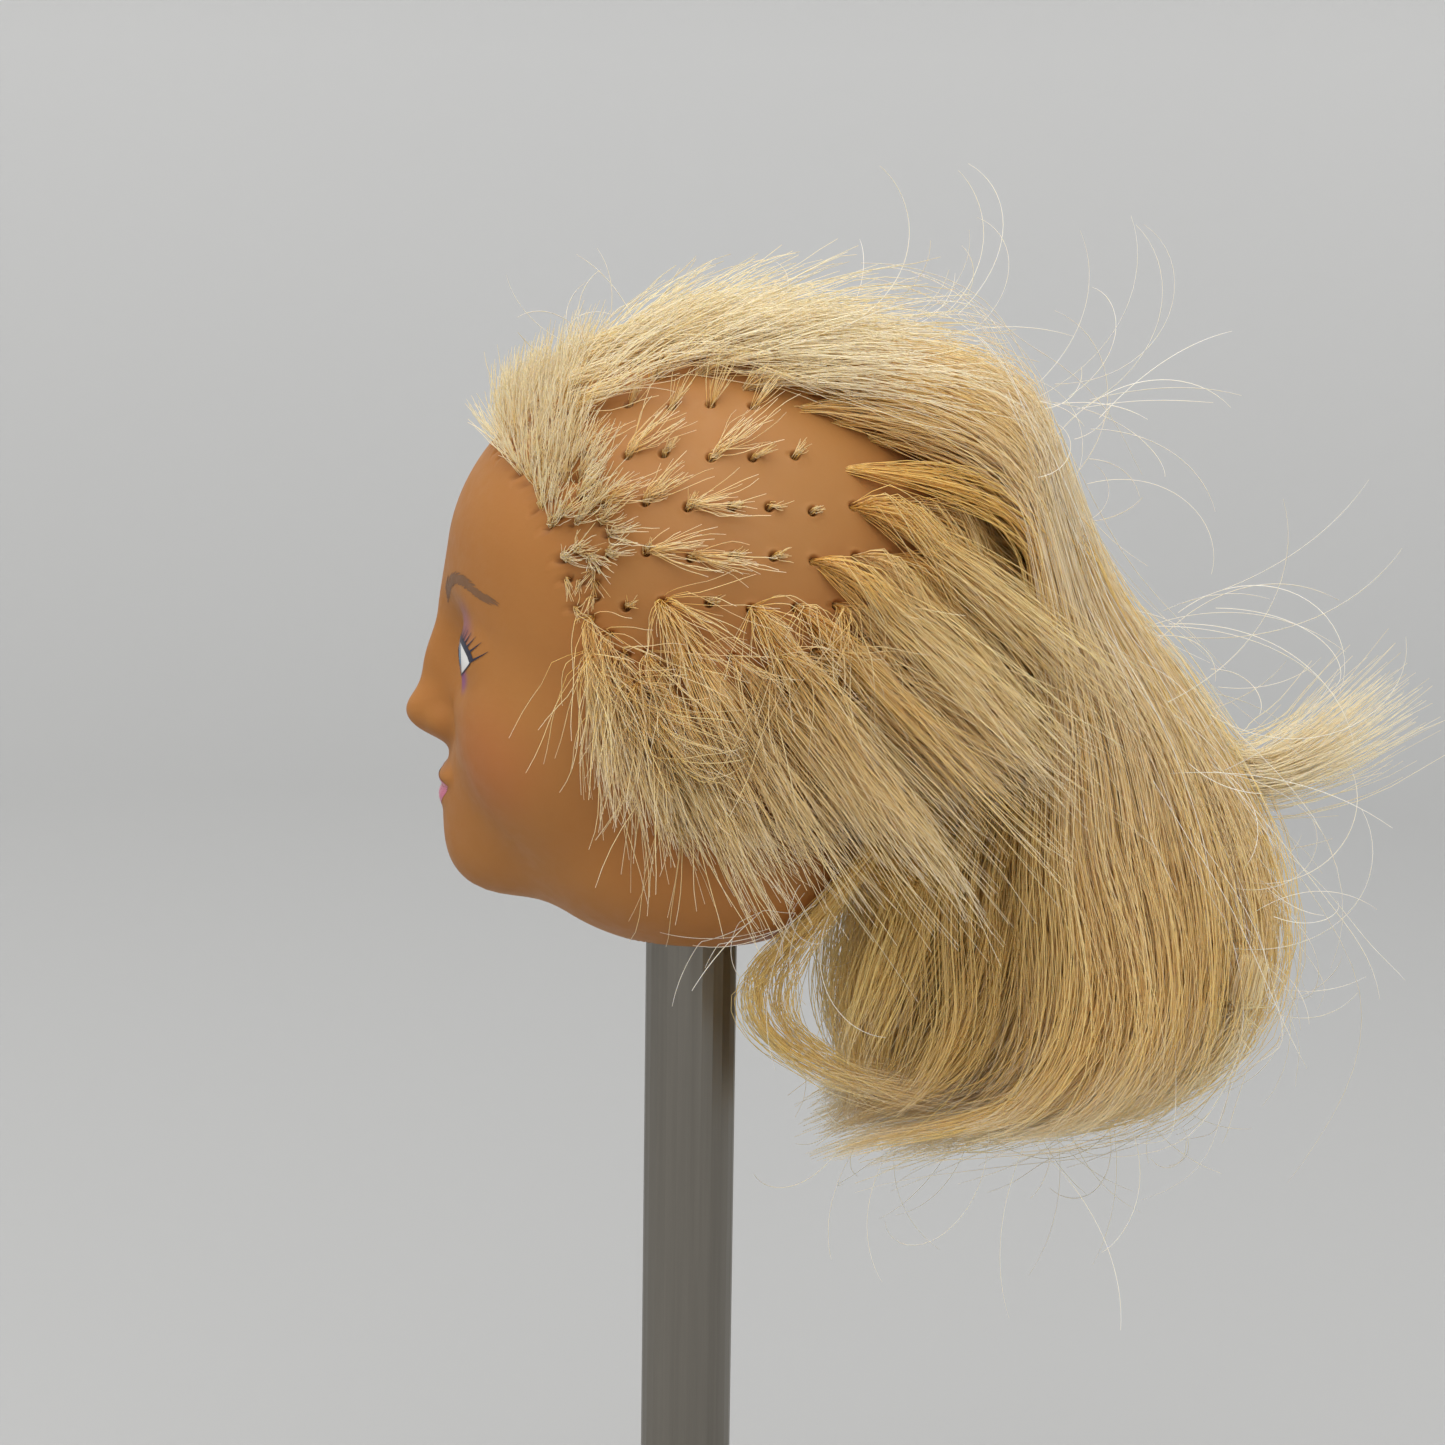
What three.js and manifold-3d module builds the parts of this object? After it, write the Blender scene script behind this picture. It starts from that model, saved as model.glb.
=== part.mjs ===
// A doll-size hair practice head with rooted hair, on a ball-jointed neck and a steel post stand.
// Millimetres, +Z up. The origin is on the floor on the post's axis. The face looks along -Y.
import * as THREE from 'three';
import { mergeVertices } from 'three/addons/utils/BufferGeometryUtils.js';
import Module from 'manifold-3d';

const wasm = await Module();
wasm.setup();

// ---- Driving dimensions -------------------------------------------------------------------

const POST_R = 3.0; // 6 mm round bar
const POST_TOP = 82.0; // the bar ends just inside the neck opening
const NECK_RIM_Z = 80.0; // lowest point of the vinyl head
const BASE_R = 26.0;
const BASE_TOP = 9.5;
const PAD_R = 23.5;
const PAD_H = 1.4;

const SLIP = 0.05; // clearance between turned parts on one axis
const REST = 0.02; // clearance between turned parts that stand on each other
const SOFT_GAP = 0.35; // clearance between soft pieces, and between them and the head

const BALL_R = 3.5; // neck ball
const BALL_Z = 88.0; // its centre, which is the point the head nods about
const BALL_FLAT = 2.95; // half height of the ball between its flats
const SEAT_GAP = 0.15; // running clearance of the ball in its socket
const SPINDLE_R = 1.25;
const STEM_LENGTH = 12.5; // how far the neck peg reaches down the post's bore

const WALL = 1.9; // vinyl thickness
const NECK_HOLE_R = 5.3;
const SOCKET_R = 5.4;
const SOCKET_FLANGE_R = 6.9;
const SOCKET_SEAT_Z = NECK_RIM_Z + WALL + 0.1; // floor the socket's flange lies on

const ROUND = 24; // facets round a turned part
const ROUND_WIDE = 40; // facets round the base

// ---- Materials ----------------------------------------------------------------------------

function material(color, roughness, metalness = 0) {
  return new THREE.MeshStandardMaterial({ color, roughness, metalness });
}
const vinyl = material(0xc98a55, 0.48);
const hairFibre = material(0xe6cf9c, 0.4);
const hairRoots = material(0xb98a4a, 0.6);
const steel = material(0x8f8c88, 0.32, 1);
const darkSteel = material(0x55565a, 0.4, 1);
const rubber = material(0x1d1d1f, 0.85);
const nylon = material(0xece8dc, 0.5);
const socketPlastic = material(0xb9a48c, 0.45);

// ---- Solids -------------------------------------------------------------------------------

// The geometry with only positions and shared vertices, as the boolean library needs it.
function bare(geometry) {
  const plain = geometry.index ? geometry.clone() : mergeVertices(geometry);
  plain.deleteAttribute('normal');
  plain.deleteAttribute('uv');
  return mergeVertices(plain, 1e-4);
}

function solidOf(geometry) {
  const plain = bare(geometry);
  return new wasm.Manifold(new wasm.Mesh({
    numProp: 3,
    vertProperties: new Float32Array(plain.attributes.position.array),
    triVerts: new Uint32Array(plain.index.array),
  }));
}

function geometryOf(solid) {
  const mesh = solid.getMesh();
  const geometry = new THREE.BufferGeometry();
  geometry.setAttribute('position', new THREE.BufferAttribute(mesh.vertProperties, 3));
  geometry.setIndex(new THREE.BufferAttribute(mesh.triVerts, 1));
  geometry.computeVertexNormals();
  return geometry;
}

// The largest body of a cut solid: a cut can leave slivers beside it.
function mainBody(solid) {
  return solid.decompose().sort((a, b) => b.volume() - a.volume())[0];
}

// A box between two corners, as a cutting tool.
function block(low, high) {
  const size = high.map((h, i) => h - low[i]);
  const centre = high.map((h, i) => (h + low[i]) / 2);
  return solidOf(new THREE.BoxGeometry(...size).translate(...centre));
}

// A part turned about +Z. The profile is a list of [radius, height], anticlockwise, outside going up.
function turned(profile, facets = ROUND) {
  const points = profile.map(([r, z]) => new THREE.Vector2(r, z));
  const onAxis = profile[0][0] === 0 && profile.at(-1)[0] === 0;
  if (!onAxis) points.push(points[0].clone());
  return bare(new THREE.LatheGeometry(points, facets).rotateX(Math.PI / 2));
}

// Points of an arc in a turned profile, from one angle to another in degrees about [r, z].
function arc(r, z, radius, from, to, steps) {
  return Array.from({ length: steps + 1 }, (_, i) => {
    const angle = THREE.MathUtils.degToRad(from + ((to - from) * i) / steps);
    return [r + radius * Math.cos(angle), z + radius * Math.sin(angle)];
  });
}

// ---- The head's form ----------------------------------------------------------------------

const HEAD_CORE = new THREE.Vector3(0, 0.5, 98); // every point of the skin is in sight of this one

// Ellipsoids that flow into each other: centre, half axes, and how softly each one blends in.
// paired ones stand on both sides of the face, and hollow ones are pressed in.
const HEAD_MASSES = [
  { at: [0, 1.4, 103.3], half: [15.0, 16.2, 15.3], soft: 0 }, // cranium
  { at: [0, -3.4, 104.6], half: [12.2, 12.0, 10.6], soft: 4 }, // forehead
  { at: [0, -3.6, 95.5], half: [11.4, 11.4, 11.0], soft: 5 }, // middle of the face
  { at: [0, -2.6, 88.6], half: [9.6, 11.2, 6.2], soft: 4 }, // jaw
  { at: [0, 0.4, 85.2], half: [10.2, 10.4, 6.0], soft: 3 }, // neck rim
  { at: [5.7, -8.7, 93.6], half: [4.6, 5.3, 5.0], soft: 4, paired: true }, // cheek
  { at: [0, -12.7, 85.7], half: [3.7, 3.3, 3.0], soft: 3.6 }, // chin
  { at: [0, -11.9, 89.7], half: [4.3, 3.9, 3.9], soft: 3 }, // mouth mound
];
const EAR = { at: [13.9, 1.2, 97.0], half: [1.7, 2.6, 3.8] };
const FACE_FEATURES = [
  { at: [5.2, -17.3, 99.2], half: [3.9, 3.0, 2.7], soft: 2.2, paired: true, hollow: true }, // eye socket
  { at: [5.1, -11.4, 98.9], half: [3.9, 3.5, 3.6], soft: 0.8, paired: true }, // eyeball and lid
  { at: [0, -14.4, 98.8], half: [1.25, 1.9, 4.2], soft: 2.4 }, // top of the nose's bridge
  { at: [0, -15.5, 96.4], half: [1.2, 2.2, 3.2], soft: 1.8 }, // middle of the bridge
  { at: [0, -16.5, 94.5], half: [1.45, 2.3, 1.5], soft: 1.5 }, // tip of the nose
  { at: [1.3, -15.65, 93.9], half: [0.85, 1.4, 0.85], soft: 0.9, paired: true }, // nostril wing
  { at: [1.2, -15.45, 90.45], half: [1.9, 1.1, 0.72], soft: 0.5, paired: true }, // upper lip
  { at: [0, -15.4, 89.05], half: [2.3, 1.2, 0.88], soft: 0.5 }, // lower lip
  { ...EAR, soft: 0.8, paired: true },
];

function ellipsoidDistance(point, at, half) {
  const scaled = point.clone().sub(at).divide(half);
  const k0 = scaled.length();
  const k1 = scaled.divide(half).length();
  return k1 < 1e-9 ? -Math.min(half.x, half.y, half.z) : (k0 * (k0 - 1)) / k1;
}

function softMin(a, b, k) {
  if (k <= 0) return Math.min(a, b);
  const h = Math.max(k - Math.abs(a - b), 0) / k;
  return Math.min(a, b) - (h * h * k) / 4;
}

// Signed distance, roughly, to the skin formed by the given masses: negative inside.
function skinDistance(point, masses) {
  let distance = Infinity;
  for (const mass of masses) {
    const half = new THREE.Vector3(...mass.half);
    for (const side of mass.paired ? [1, -1] : [1]) {
      const at = new THREE.Vector3(mass.at[0] * side, mass.at[1], mass.at[2]);
      const d = ellipsoidDistance(point, at, half);
      if (distance === Infinity) distance = d;
      else if (mass.hollow) distance = -softMin(-distance, d, mass.soft);
      else distance = softMin(distance, d, mass.soft);
    }
  }
  return distance;
}

// How far the skin is from HEAD_CORE in a direction: halving between inside and outside.
function skinReach(direction, masses) {
  let near = 4;
  let far = 32;
  const point = new THREE.Vector3();
  for (let i = 0; i < 22; i += 1) {
    const middle = (near + far) / 2;
    point.copy(HEAD_CORE).addScaledVector(direction, middle);
    if (skinDistance(point, masses) < 0) near = middle;
    else far = middle;
  }
  return (near + far) / 2;
}

// A closed body round HEAD_CORE whose surface lies reach(direction) away: a cube's grid blown up
// to a ball, with more lines across the face than from front to back, and most near its middle.
function headBody(reach, across, along) {
  const geometry = bare(new THREE.BoxGeometry(2, 2, 2, across, along, across));
  const position = geometry.attributes.position;
  const direction = new THREE.Vector3();
  const evenly = (v) => Math.tan((v * (0.65 + 0.35 * v * v) * Math.PI) / 4);
  for (let i = 0; i < position.count; i += 1) {
    direction.fromBufferAttribute(position, i);
    direction.set(evenly(direction.x), evenly(direction.y), evenly(direction.z)).normalize();
    const r = reach(direction);
    position.setXYZ(i, ...direction.multiplyScalar(r).add(HEAD_CORE).toArray());
  }
  return solidOf(geometry);
}

const FACE_GRID = [20, 9];
const PLAIN_GRID = [8, 5];
const LINING_H = 0.7; // the mat of fibre loops inside the scalp

function headShell() {
  const skin = headBody((d) => skinReach(d, [...HEAD_MASSES, ...FACE_FEATURES]), ...FACE_GRID);
  const hollow = headBody((d) => skinReach(d, HEAD_MASSES) - WALL, ...PLAIN_GRID);
  const neckHole = solidOf(turned([
    [0, 70], [NECK_HOLE_R, 70], [NECK_HOLE_R, SOCKET_SEAT_Z], [SOCKET_FLANGE_R + SOFT_GAP, SOCKET_SEAT_Z],
    [SOCKET_FLANGE_R + SOFT_GAP, 90], [0, 90],
  ]));
  return mainBody(skin.subtract(hollow).subtract(neckHole));
}

// Rooted fibre runs from hole to hole as loops inside the scalp and mats into a thin lining there.
function rootLining() {
  const outer = headBody((d) => skinReach(d, HEAD_MASSES) - WALL - SOFT_GAP, ...PLAIN_GRID);
  const inner = headBody((d) => skinReach(d, HEAD_MASSES) - WALL - SOFT_GAP - LINING_H, ...PLAIN_GRID);
  const scalp = block([-20, -9, 98], [20, 24, 130]);
  return mainBody(outer.subtract(inner).intersect(scalp));
}

// ---- Hair ---------------------------------------------------------------------------------

// Everything the hair has to stay clear of.
const scalpClearance = headBody((d) => skinReach(d, HEAD_MASSES) + 1.6 * SOFT_GAP, 12, 8)
  .add(earClearance(1)).add(earClearance(-1));

function earClearance(side) {
  const [x, y, z] = EAR.at;
  const room = EAR.half.map((h) => h + 3 * SOFT_GAP);
  return solidOf(new THREE.SphereGeometry(1, 12, 8).scale(...room).translate(x * side, y, z));
}

// How thick the hair lies on the scalp in a direction from HEAD_CORE.
function hairDepth(direction) {
  const { x, y, z } = direction;
  const top = THREE.MathUtils.smoothstep(z, 0.2, 0.9);
  const front = THREE.MathUtils.smoothstep(-y, 0.3, 0.85);
  const back = THREE.MathUtils.smoothstep(y, 0.1, 0.8);
  const cropped = THREE.MathUtils.smoothstep(x, 0.35, 0.7) * (1 - back) * (1 - top * 0.6);
  return 3.0 + 3.4 * top * (1 - 0.7 * front) + 2.0 * back - 1.1 * front - 0.6 * cropped;
}

const hairCap = headBody((d) => skinReach(d, HEAD_MASSES) + hairDepth(d), 10, 8)
  .subtract(scalpClearance);

// A block with the given outline in side view, a list of [y, z], from one x to another.
function sideBlock(outline, lowX, highX) {
  const shape = new THREE.Shape(outline.map(([y, z]) => new THREE.Vector2(y, z)));
  const across = new THREE.Matrix4().makeBasis(
    new THREE.Vector3(0, 1, 0), new THREE.Vector3(0, 0, 1), new THREE.Vector3(1, 0, 0),
  );
  const geometry = new THREE.ExtrudeGeometry(shape, { depth: highX - lowX, bevelEnabled: false });
  return solidOf(geometry.applyMatrix4(across).translate(lowX, 0, 0));
}

// One section of the hair cap: what of it lies inside an outline in side view, between two x.
function capSection(outline, lowX, highX) {
  return mainBody(hairCap.intersect(sideBlock(outline, lowX, highX)));
}

// A lock of hair: a closed body of oval sections along a curve. The spine is a list of
// [x, y, z, half width across x, half thickness], and wider grows it by a margin.
function lock(spine, wider = 0, rings = 14, facets = 12) {
  const path = new THREE.CatmullRomCurve3(spine.map(([x, y, z]) => new THREE.Vector3(x, y, z)));
  const sizes = new THREE.CatmullRomCurve3(spine.map(([, , , w, t]) => new THREE.Vector3(w, t, 0)));
  const geometry = bare(new THREE.SphereGeometry(1, facets, rings));
  const position = geometry.attributes.position;
  const across = new THREE.Vector3(1, 0, 0);
  for (let i = 0; i < position.count; i += 1) {
    const p = new THREE.Vector3().fromBufferAttribute(position, i);
    const share = Math.acos(THREE.MathUtils.clamp(p.y, -1, 1)) / Math.PI;
    const ring = Math.hypot(p.x, p.z);
    const fullness = ring > 1e-6 ? Math.min(1, Math.pow(ring, 0.45)) / ring : 0;
    const tangent = path.getTangent(share);
    const normal = new THREE.Vector3().crossVectors(tangent, across).normalize();
    const size = sizes.getPoint(share);
    const centre = path.getPoint(share).addScaledVector(tangent, -wider * Math.sign(0.5 - share) * (1 - ring));
    centre.addScaledVector(across, p.x * fullness * (size.x + wider));
    centre.addScaledVector(normal, p.z * fullness * (size.y + wider));
    position.setXYZ(i, centre.x, centre.y, centre.z);
  }
  const made = solidOf(geometry);
  return made.volume() < 0 ? solidOf(flipped(geometry)) : made;
}

function flipped(geometry) {
  const turnedRound = geometry.clone();
  turnedRound.setIndex([...geometry.index.array].reverse());
  return turnedRound;
}

const FAR = 60; // beyond every piece of hair
const PART = SOFT_GAP / 2;
const CROWN_X = 9; // half width of the top section
const SIDE_X = CROWN_X + SOFT_GAP;

// Outlines of the sections in side view, as [y, z].
const SECTIONS = {
  fringe: [[-22, 113.5], [-12.5, 110.8], [-8.9, 107.4], [-6.6, 107.4], [-5, 111.3], [-5, FAR * 3], [-22, FAR * 3]],
  crown: [[-4.65, 108], [FAR, 108], [FAR, FAR * 3], [-4.65, FAR * 3]],
  nape: [[9, 84], [FAR, 84], [FAR, 107.65], [9, 107.65]],
  temple: [[-8.9, 107.05], [-6.4, 107.05], [-4.65, 111.2], [-4.65, FAR * 3], [4, FAR * 3], [6, 112], [7, 103], [-8, 102]],
  leftSide: [[-8, 101.65], [7.1, 102.65], [9, 86.5], [5, 83.5], [-2, 86.5], [-5.9, 88], [-6.4, 95]],
  leftBack: [[4.4, FAR * 3], [6.4, 112], [7.5, 103], [9.4, 86.5], [FAR, 86.5], [FAR, FAR * 3]],
  rightSide: [[-4.65, FAR * 3], [-4.65, 111.2], [-6.4, 107.05], [-8.9, 107.05], [-6, 88], [9, 86.5], [9, FAR * 3]],
  rightBack: [[9.35, FAR * 3], [9.35, 86.5], [FAR, 84], [FAR, FAR * 3]],
};

// Locks that hang free of the cap: the long back hair, which curls forward under its own end,
// a thin lock below the nape, and a flick that stands out behind.
const BACK_LENGTH = [
  [-0.5, 15.5, 119.5, 8, 2.0],
  [-0.5, 21.5, 112, 12, 3.2],
  [-0.7, 25.5, 103, 14, 5.0],
  [-0.8, 27.0, 94, 14.5, 8.6],
  [-1.2, 26.0, 84, 14.5, 12.4],
  [-1.5, 23.5, 76, 13, 10.0],
  [-1.5, 17.5, 70.5, 10, 5.0],
  [-1.5, 10.5, 68, 6, 2.2],
];
const NAPE_LOCK = [
  [6.5, 12.0, 85, 2.2, 1.2],
  [7.0, 9.4, 79.5, 2.4, 1.3],
  [6.5, 9.6, 74.5, 2.3, 1.3],
  [5.0, 12.0, 70.5, 1.8, 1.0],
];
const FLICK_LOCK = [
  [-3, 30, 90, 2.0, 2.4],
  [-3, 36, 93, 2.4, 2.8],
  [-3.5, 42, 95.6, 3.0, 4.0],
  [-4, 48, 97.5, 3.0, 4.6],
];
const CURL_Z = 74; // below it the length turns forward

function hairPieces() {
  const capAndHead = headBody((d) => skinReach(d, HEAD_MASSES) + hairDepth(d) + SOFT_GAP, 10, 8);
  const body = lock(BACK_LENGTH)
    .subtract(capAndHead)
    .subtract(lock(NAPE_LOCK, SOFT_GAP))
    .subtract(lock(FLICK_LOCK, SOFT_GAP));
  const left = (low, high) => block([PART, -FAR, low], [FAR, FAR, high]);
  const right = (low, high) => block([-FAR, -FAR, low], [-PART, FAR, high]);
  return {
    hairline_fringe: capSection(SECTIONS.fringe, -FAR, FAR),
    crown_sweep: capSection(SECTIONS.crown, -CROWN_X, CROWN_X),
    nape_layer: capSection(SECTIONS.nape, -CROWN_X, CROWN_X),
    left_temple_stubble: capSection(SECTIONS.temple, SIDE_X, FAR),
    left_side_cut: capSection(SECTIONS.leftSide, 6, FAR),
    left_back_layer: capSection(SECTIONS.leftBack, SIDE_X, FAR),
    right_side_sweep: capSection(SECTIONS.rightSide, -FAR, -SIDE_X),
    right_back_layer: capSection(SECTIONS.rightBack, -FAR, -SIDE_X),
    back_length_left: mainBody(body.intersect(left(CURL_Z + PART, FAR * 3))),
    back_length_right: mainBody(body.intersect(right(CURL_Z + PART, FAR * 3))),
    curled_ends_left: mainBody(body.intersect(left(0, CURL_Z - PART))),
    curled_ends_right: mainBody(body.intersect(right(0, CURL_Z - PART))),
    nape_lock: mainBody(lock(NAPE_LOCK).subtract(capAndHead)),
    flick_lock: lock(FLICK_LOCK),
  };
}

// ---- Neck joint ---------------------------------------------------------------------------

const BORE_R = 2.0; // blind bore in the top of the post
const BORE_FLOOR = POST_TOP - STEM_LENGTH - 2.5;
const BUSH_FLANGE_TOP = POST_TOP + 0.6;
const SHOULDER_TOP = BALL_Z - 3.5;
const BALL_LOW = BALL_Z - BALL_FLAT;
const BALL_HIGH = BALL_Z + BALL_FLAT;
const SEAT_R = BALL_R + SEAT_GAP;

// Nylon bush lining the post's bore, with a flange on the end of the bar.
function postBush() {
  const inner = SPINDLE_R + SLIP;
  const floor = BORE_FLOOR + 1.2;
  return turned([
    [inner, floor], [BORE_R - SLIP, floor], [BORE_R - SLIP, POST_TOP + REST],
    [POST_R - 0.15, POST_TOP + REST], [POST_R - 0.15, BUSH_FLANGE_TOP], [inner, BUSH_FLANGE_TOP],
  ]);
}

// Steel peg: a stem that drops into the bush, a shoulder, and a spindle that carries the ball.
function neckPeg() {
  const stemEnd = POST_TOP - STEM_LENGTH;
  const shoulderLow = BUSH_FLANGE_TOP + REST;
  const grooveLow = BALL_HIGH + 0.1;
  const grooveHigh = grooveLow + 0.5;
  return turned([
    [0, stemEnd], [SPINDLE_R - 0.3, stemEnd], [SPINDLE_R, stemEnd + 0.4],
    [SPINDLE_R, shoulderLow], [2.3, shoulderLow], [2.3, SHOULDER_TOP], [SPINDLE_R, SHOULDER_TOP],
    [SPINDLE_R, grooveLow], [0.9, grooveLow], [0.9, grooveHigh], [SPINDLE_R, grooveHigh],
    [SPINDLE_R, grooveHigh + 0.3], [0.9, grooveHigh + 0.6], [0, grooveHigh + 0.6],
  ]);
}

function thrustWasher() {
  return turned([
    [SPINDLE_R + SLIP, SHOULDER_TOP + REST], [1.9, SHOULDER_TOP + REST],
    [1.9, BALL_LOW - REST], [SPINDLE_R + SLIP, BALL_LOW - REST],
  ]);
}

// Retaining clip sprung into the spindle's groove: a ring with a slot.
function spindleClip() {
  const low = BALL_HIGH + 0.1 + REST;
  const high = BALL_HIGH + 0.6 - REST;
  const ring = solidOf(turned([[0.9 + SLIP, low], [1.9, low], [1.9, high], [0.9 + SLIP, high]], 24));
  return geometryOf(ring.subtract(block([-0.55, 0, low - 1], [0.55, 3, high + 1])));
}

function neckBall() {
  const edge = THREE.MathUtils.radToDeg(Math.asin(BALL_FLAT / BALL_R));
  return turned([
    [SPINDLE_R + SLIP, BALL_LOW],
    ...arc(0, BALL_Z, BALL_R, -edge, edge, 8),
    [SPINDLE_R + SLIP, BALL_HIGH],
  ]);
}

// Lower half of the socket: a flange that lies on the neck's floor, and a cup under the ball.
function neckSocket() {
  const flangeLow = SOCKET_SEAT_Z + SOFT_GAP;
  const flangeHigh = flangeLow + 1.0;
  const mouth = BALL_Z - 2.4;
  const mouthAngle = THREE.MathUtils.radToDeg(Math.asin((mouth - BALL_Z) / SEAT_R));
  return turned([
    [4.7, flangeLow], [SOCKET_FLANGE_R, flangeLow], [SOCKET_FLANGE_R, flangeHigh],
    [SOCKET_R, flangeHigh], [SOCKET_R, BALL_Z - REST],
    ...arc(0, BALL_Z, SEAT_R, 0, mouthAngle, 6).map(([r, z]) => [r, Math.min(z, BALL_Z - REST)]),
  ]);
}

// Upper half of the socket, closed on top, with a pocket for the spindle's end.
function socketCap() {
  const pocketR = 2.6;
  const pocketTop = BALL_Z + 4.9;
  const lip = THREE.MathUtils.radToDeg(Math.acos(pocketR / SEAT_R));
  return turned([
    [0, pocketTop], [pocketR, pocketTop],
    ...arc(0, BALL_Z, SEAT_R, lip, 0, 6).map(([r, z]) => [r, Math.max(z, BALL_Z + REST)]),
    [SOCKET_R, BALL_Z + REST], [SOCKET_R, pocketTop], [SOCKET_R - 1, pocketTop + 1], [0, pocketTop + 1],
  ]);
}

// Split ring that holds the two halves of the socket together.
function socketRing() {
  const inner = SOCKET_R + SLIP;
  const outer = inner + 0.9;
  const ring = solidOf(turned([
    [inner, BALL_Z - 1.5], [outer, BALL_Z - 1.5], [outer, BALL_Z + 1.5], [inner, BALL_Z + 1.5],
  ]));
  return geometryOf(ring.subtract(block([-0.6, 0, BALL_Z - 3], [0.6, 12, BALL_Z + 3])));
}

// ---- Stand --------------------------------------------------------------------------------

const SCREW_R = 1.5;
const SCREW_HEAD_R = 2.7;
const COUNTERBORE_R = 3.4;
const COUNTERBORE_TOP = 5.0;
const POST_SEAT_Z = 8.0; // floor of the recess that locates the post

// Steel bar with a bore for the neck peg above and a tapped hole for the base screw below.
function postBar() {
  const bottom = POST_SEAT_Z + REST;
  const tapped = SCREW_R + SLIP;
  return geometryOf(solidOf(turned([
    [0, bottom], [POST_R - 0.3, bottom], [POST_R, bottom + 0.3],
    [POST_R, POST_TOP - 0.2], [POST_R - 0.2, POST_TOP], [0, POST_TOP],
  ], ROUND))
    .subtract(solidOf(turned([[0, BORE_FLOOR], [BORE_R, BORE_FLOOR], [BORE_R, 90], [0, 90]])))
    .subtract(solidOf(turned([[0, 0], [tapped, 0], [tapped, bottom + 9], [0, bottom + 9]]))));
}

function basePlate() {
  const low = PAD_H + REST;
  return turned([
    [COUNTERBORE_R, low], [BASE_R - 0.5, low], [BASE_R, low + 0.5],
    ...arc(BASE_R - 2.0, BASE_TOP - 2.0, 2.0, 0, 90, 4),
    [POST_R + SLIP, BASE_TOP], [POST_R + SLIP, POST_SEAT_Z], [SCREW_R + 0.2, POST_SEAT_Z],
    [SCREW_R + 0.2, COUNTERBORE_TOP], [COUNTERBORE_R, COUNTERBORE_TOP],
  ], ROUND_WIDE);
}

// Low ring that hides the joint between the bar and the base.
function baseFerrule() {
  const low = BASE_TOP + REST;
  return turned([
    [POST_R + SLIP, low], [POST_R + 2.4, low], [POST_R + 2.4, low + 0.8],
    ...arc(POST_R + 1.4, low + 0.8, 1.0, 0, 90, 4), [POST_R + SLIP, low + 1.8],
  ]);
}

function lockWasher() {
  const high = COUNTERBORE_TOP - REST;
  return turned([
    [SCREW_R + 0.1, high - 0.6], [SCREW_HEAD_R, high - 0.6], [SCREW_HEAD_R, high], [SCREW_R + 0.1, high],
  ], 24);
}

// Socket-head screw from below, through the base and into the bar.
function baseScrew() {
  const headHigh = COUNTERBORE_TOP - 0.6 - 2 * REST;
  const headLow = headHigh - 2.0;
  const body = solidOf(turned([
    [0, headLow], [SCREW_HEAD_R - 0.2, headLow], [SCREW_HEAD_R, headLow + 0.2],
    [SCREW_HEAD_R, headHigh], [SCREW_R, headHigh], [SCREW_R, POST_SEAT_Z + 7.5],
    [SCREW_R - 0.4, POST_SEAT_Z + 8], [0, POST_SEAT_Z + 8],
  ], 24));
  const key = new THREE.CylinderGeometry(1.2, 1.2, 2.4, 6).rotateX(Math.PI / 2).translate(0, 0, headLow);
  return geometryOf(body.subtract(solidOf(key)));
}

function basePad() {
  return turned([[0, 0], [PAD_R, 0], [PAD_R, PAD_H], [0, PAD_H]], ROUND_WIDE);
}

// ---- Assembly -----------------------------------------------------------------------------

function piece(name, geometry, look) {
  const mesh = new THREE.Mesh(geometry, look);
  mesh.name = name;
  return mesh;
}

function assembly(...pieces) {
  const group = new THREE.Group();
  group.add(...pieces);
  return group;
}

const stand = assembly(
  piece('base_pad', basePad(), rubber),
  piece('base_plate', basePlate(), steel),
  piece('base_screw', baseScrew(), darkSteel),
  piece('base_lock_washer', lockWasher(), darkSteel),
  piece('base_ferrule', baseFerrule(), steel),
  piece('post_bar', postBar(), steel),
  piece('post_bush', postBush(), nylon),
);

const neck = assembly(
  piece('neck_peg', neckPeg(), darkSteel),
  piece('thrust_washer', thrustWasher(), nylon),
  piece('spindle_clip', spindleClip(), darkSteel),
  piece('neck_ball', neckBall(), nylon),
);

const head = assembly(
  piece('neck_socket', neckSocket(), socketPlastic),
  piece('socket_cap', socketCap(), socketPlastic),
  piece('socket_ring', socketRing(), darkSteel),
  piece('head_shell', geometryOf(headShell()), vinyl),
  piece('root_lining', geometryOf(rootLining()), hairRoots),
);

const hair = assembly(
  ...Object.entries(hairPieces()).map(([name, solid]) => piece(name, geometryOf(solid), hairFibre)),
);

const trainingHead = new THREE.Group();
trainingHead.add(stand, neck, head, hair);

export default trainingHead;
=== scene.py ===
"""Looks of the hair practice head: a doll's vinyl head with rooted, partly cropped hair on a steel post."""
import math

import bmesh
import bpy
import numpy as np
from mathutils import Matrix, Vector, kdtree


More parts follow.
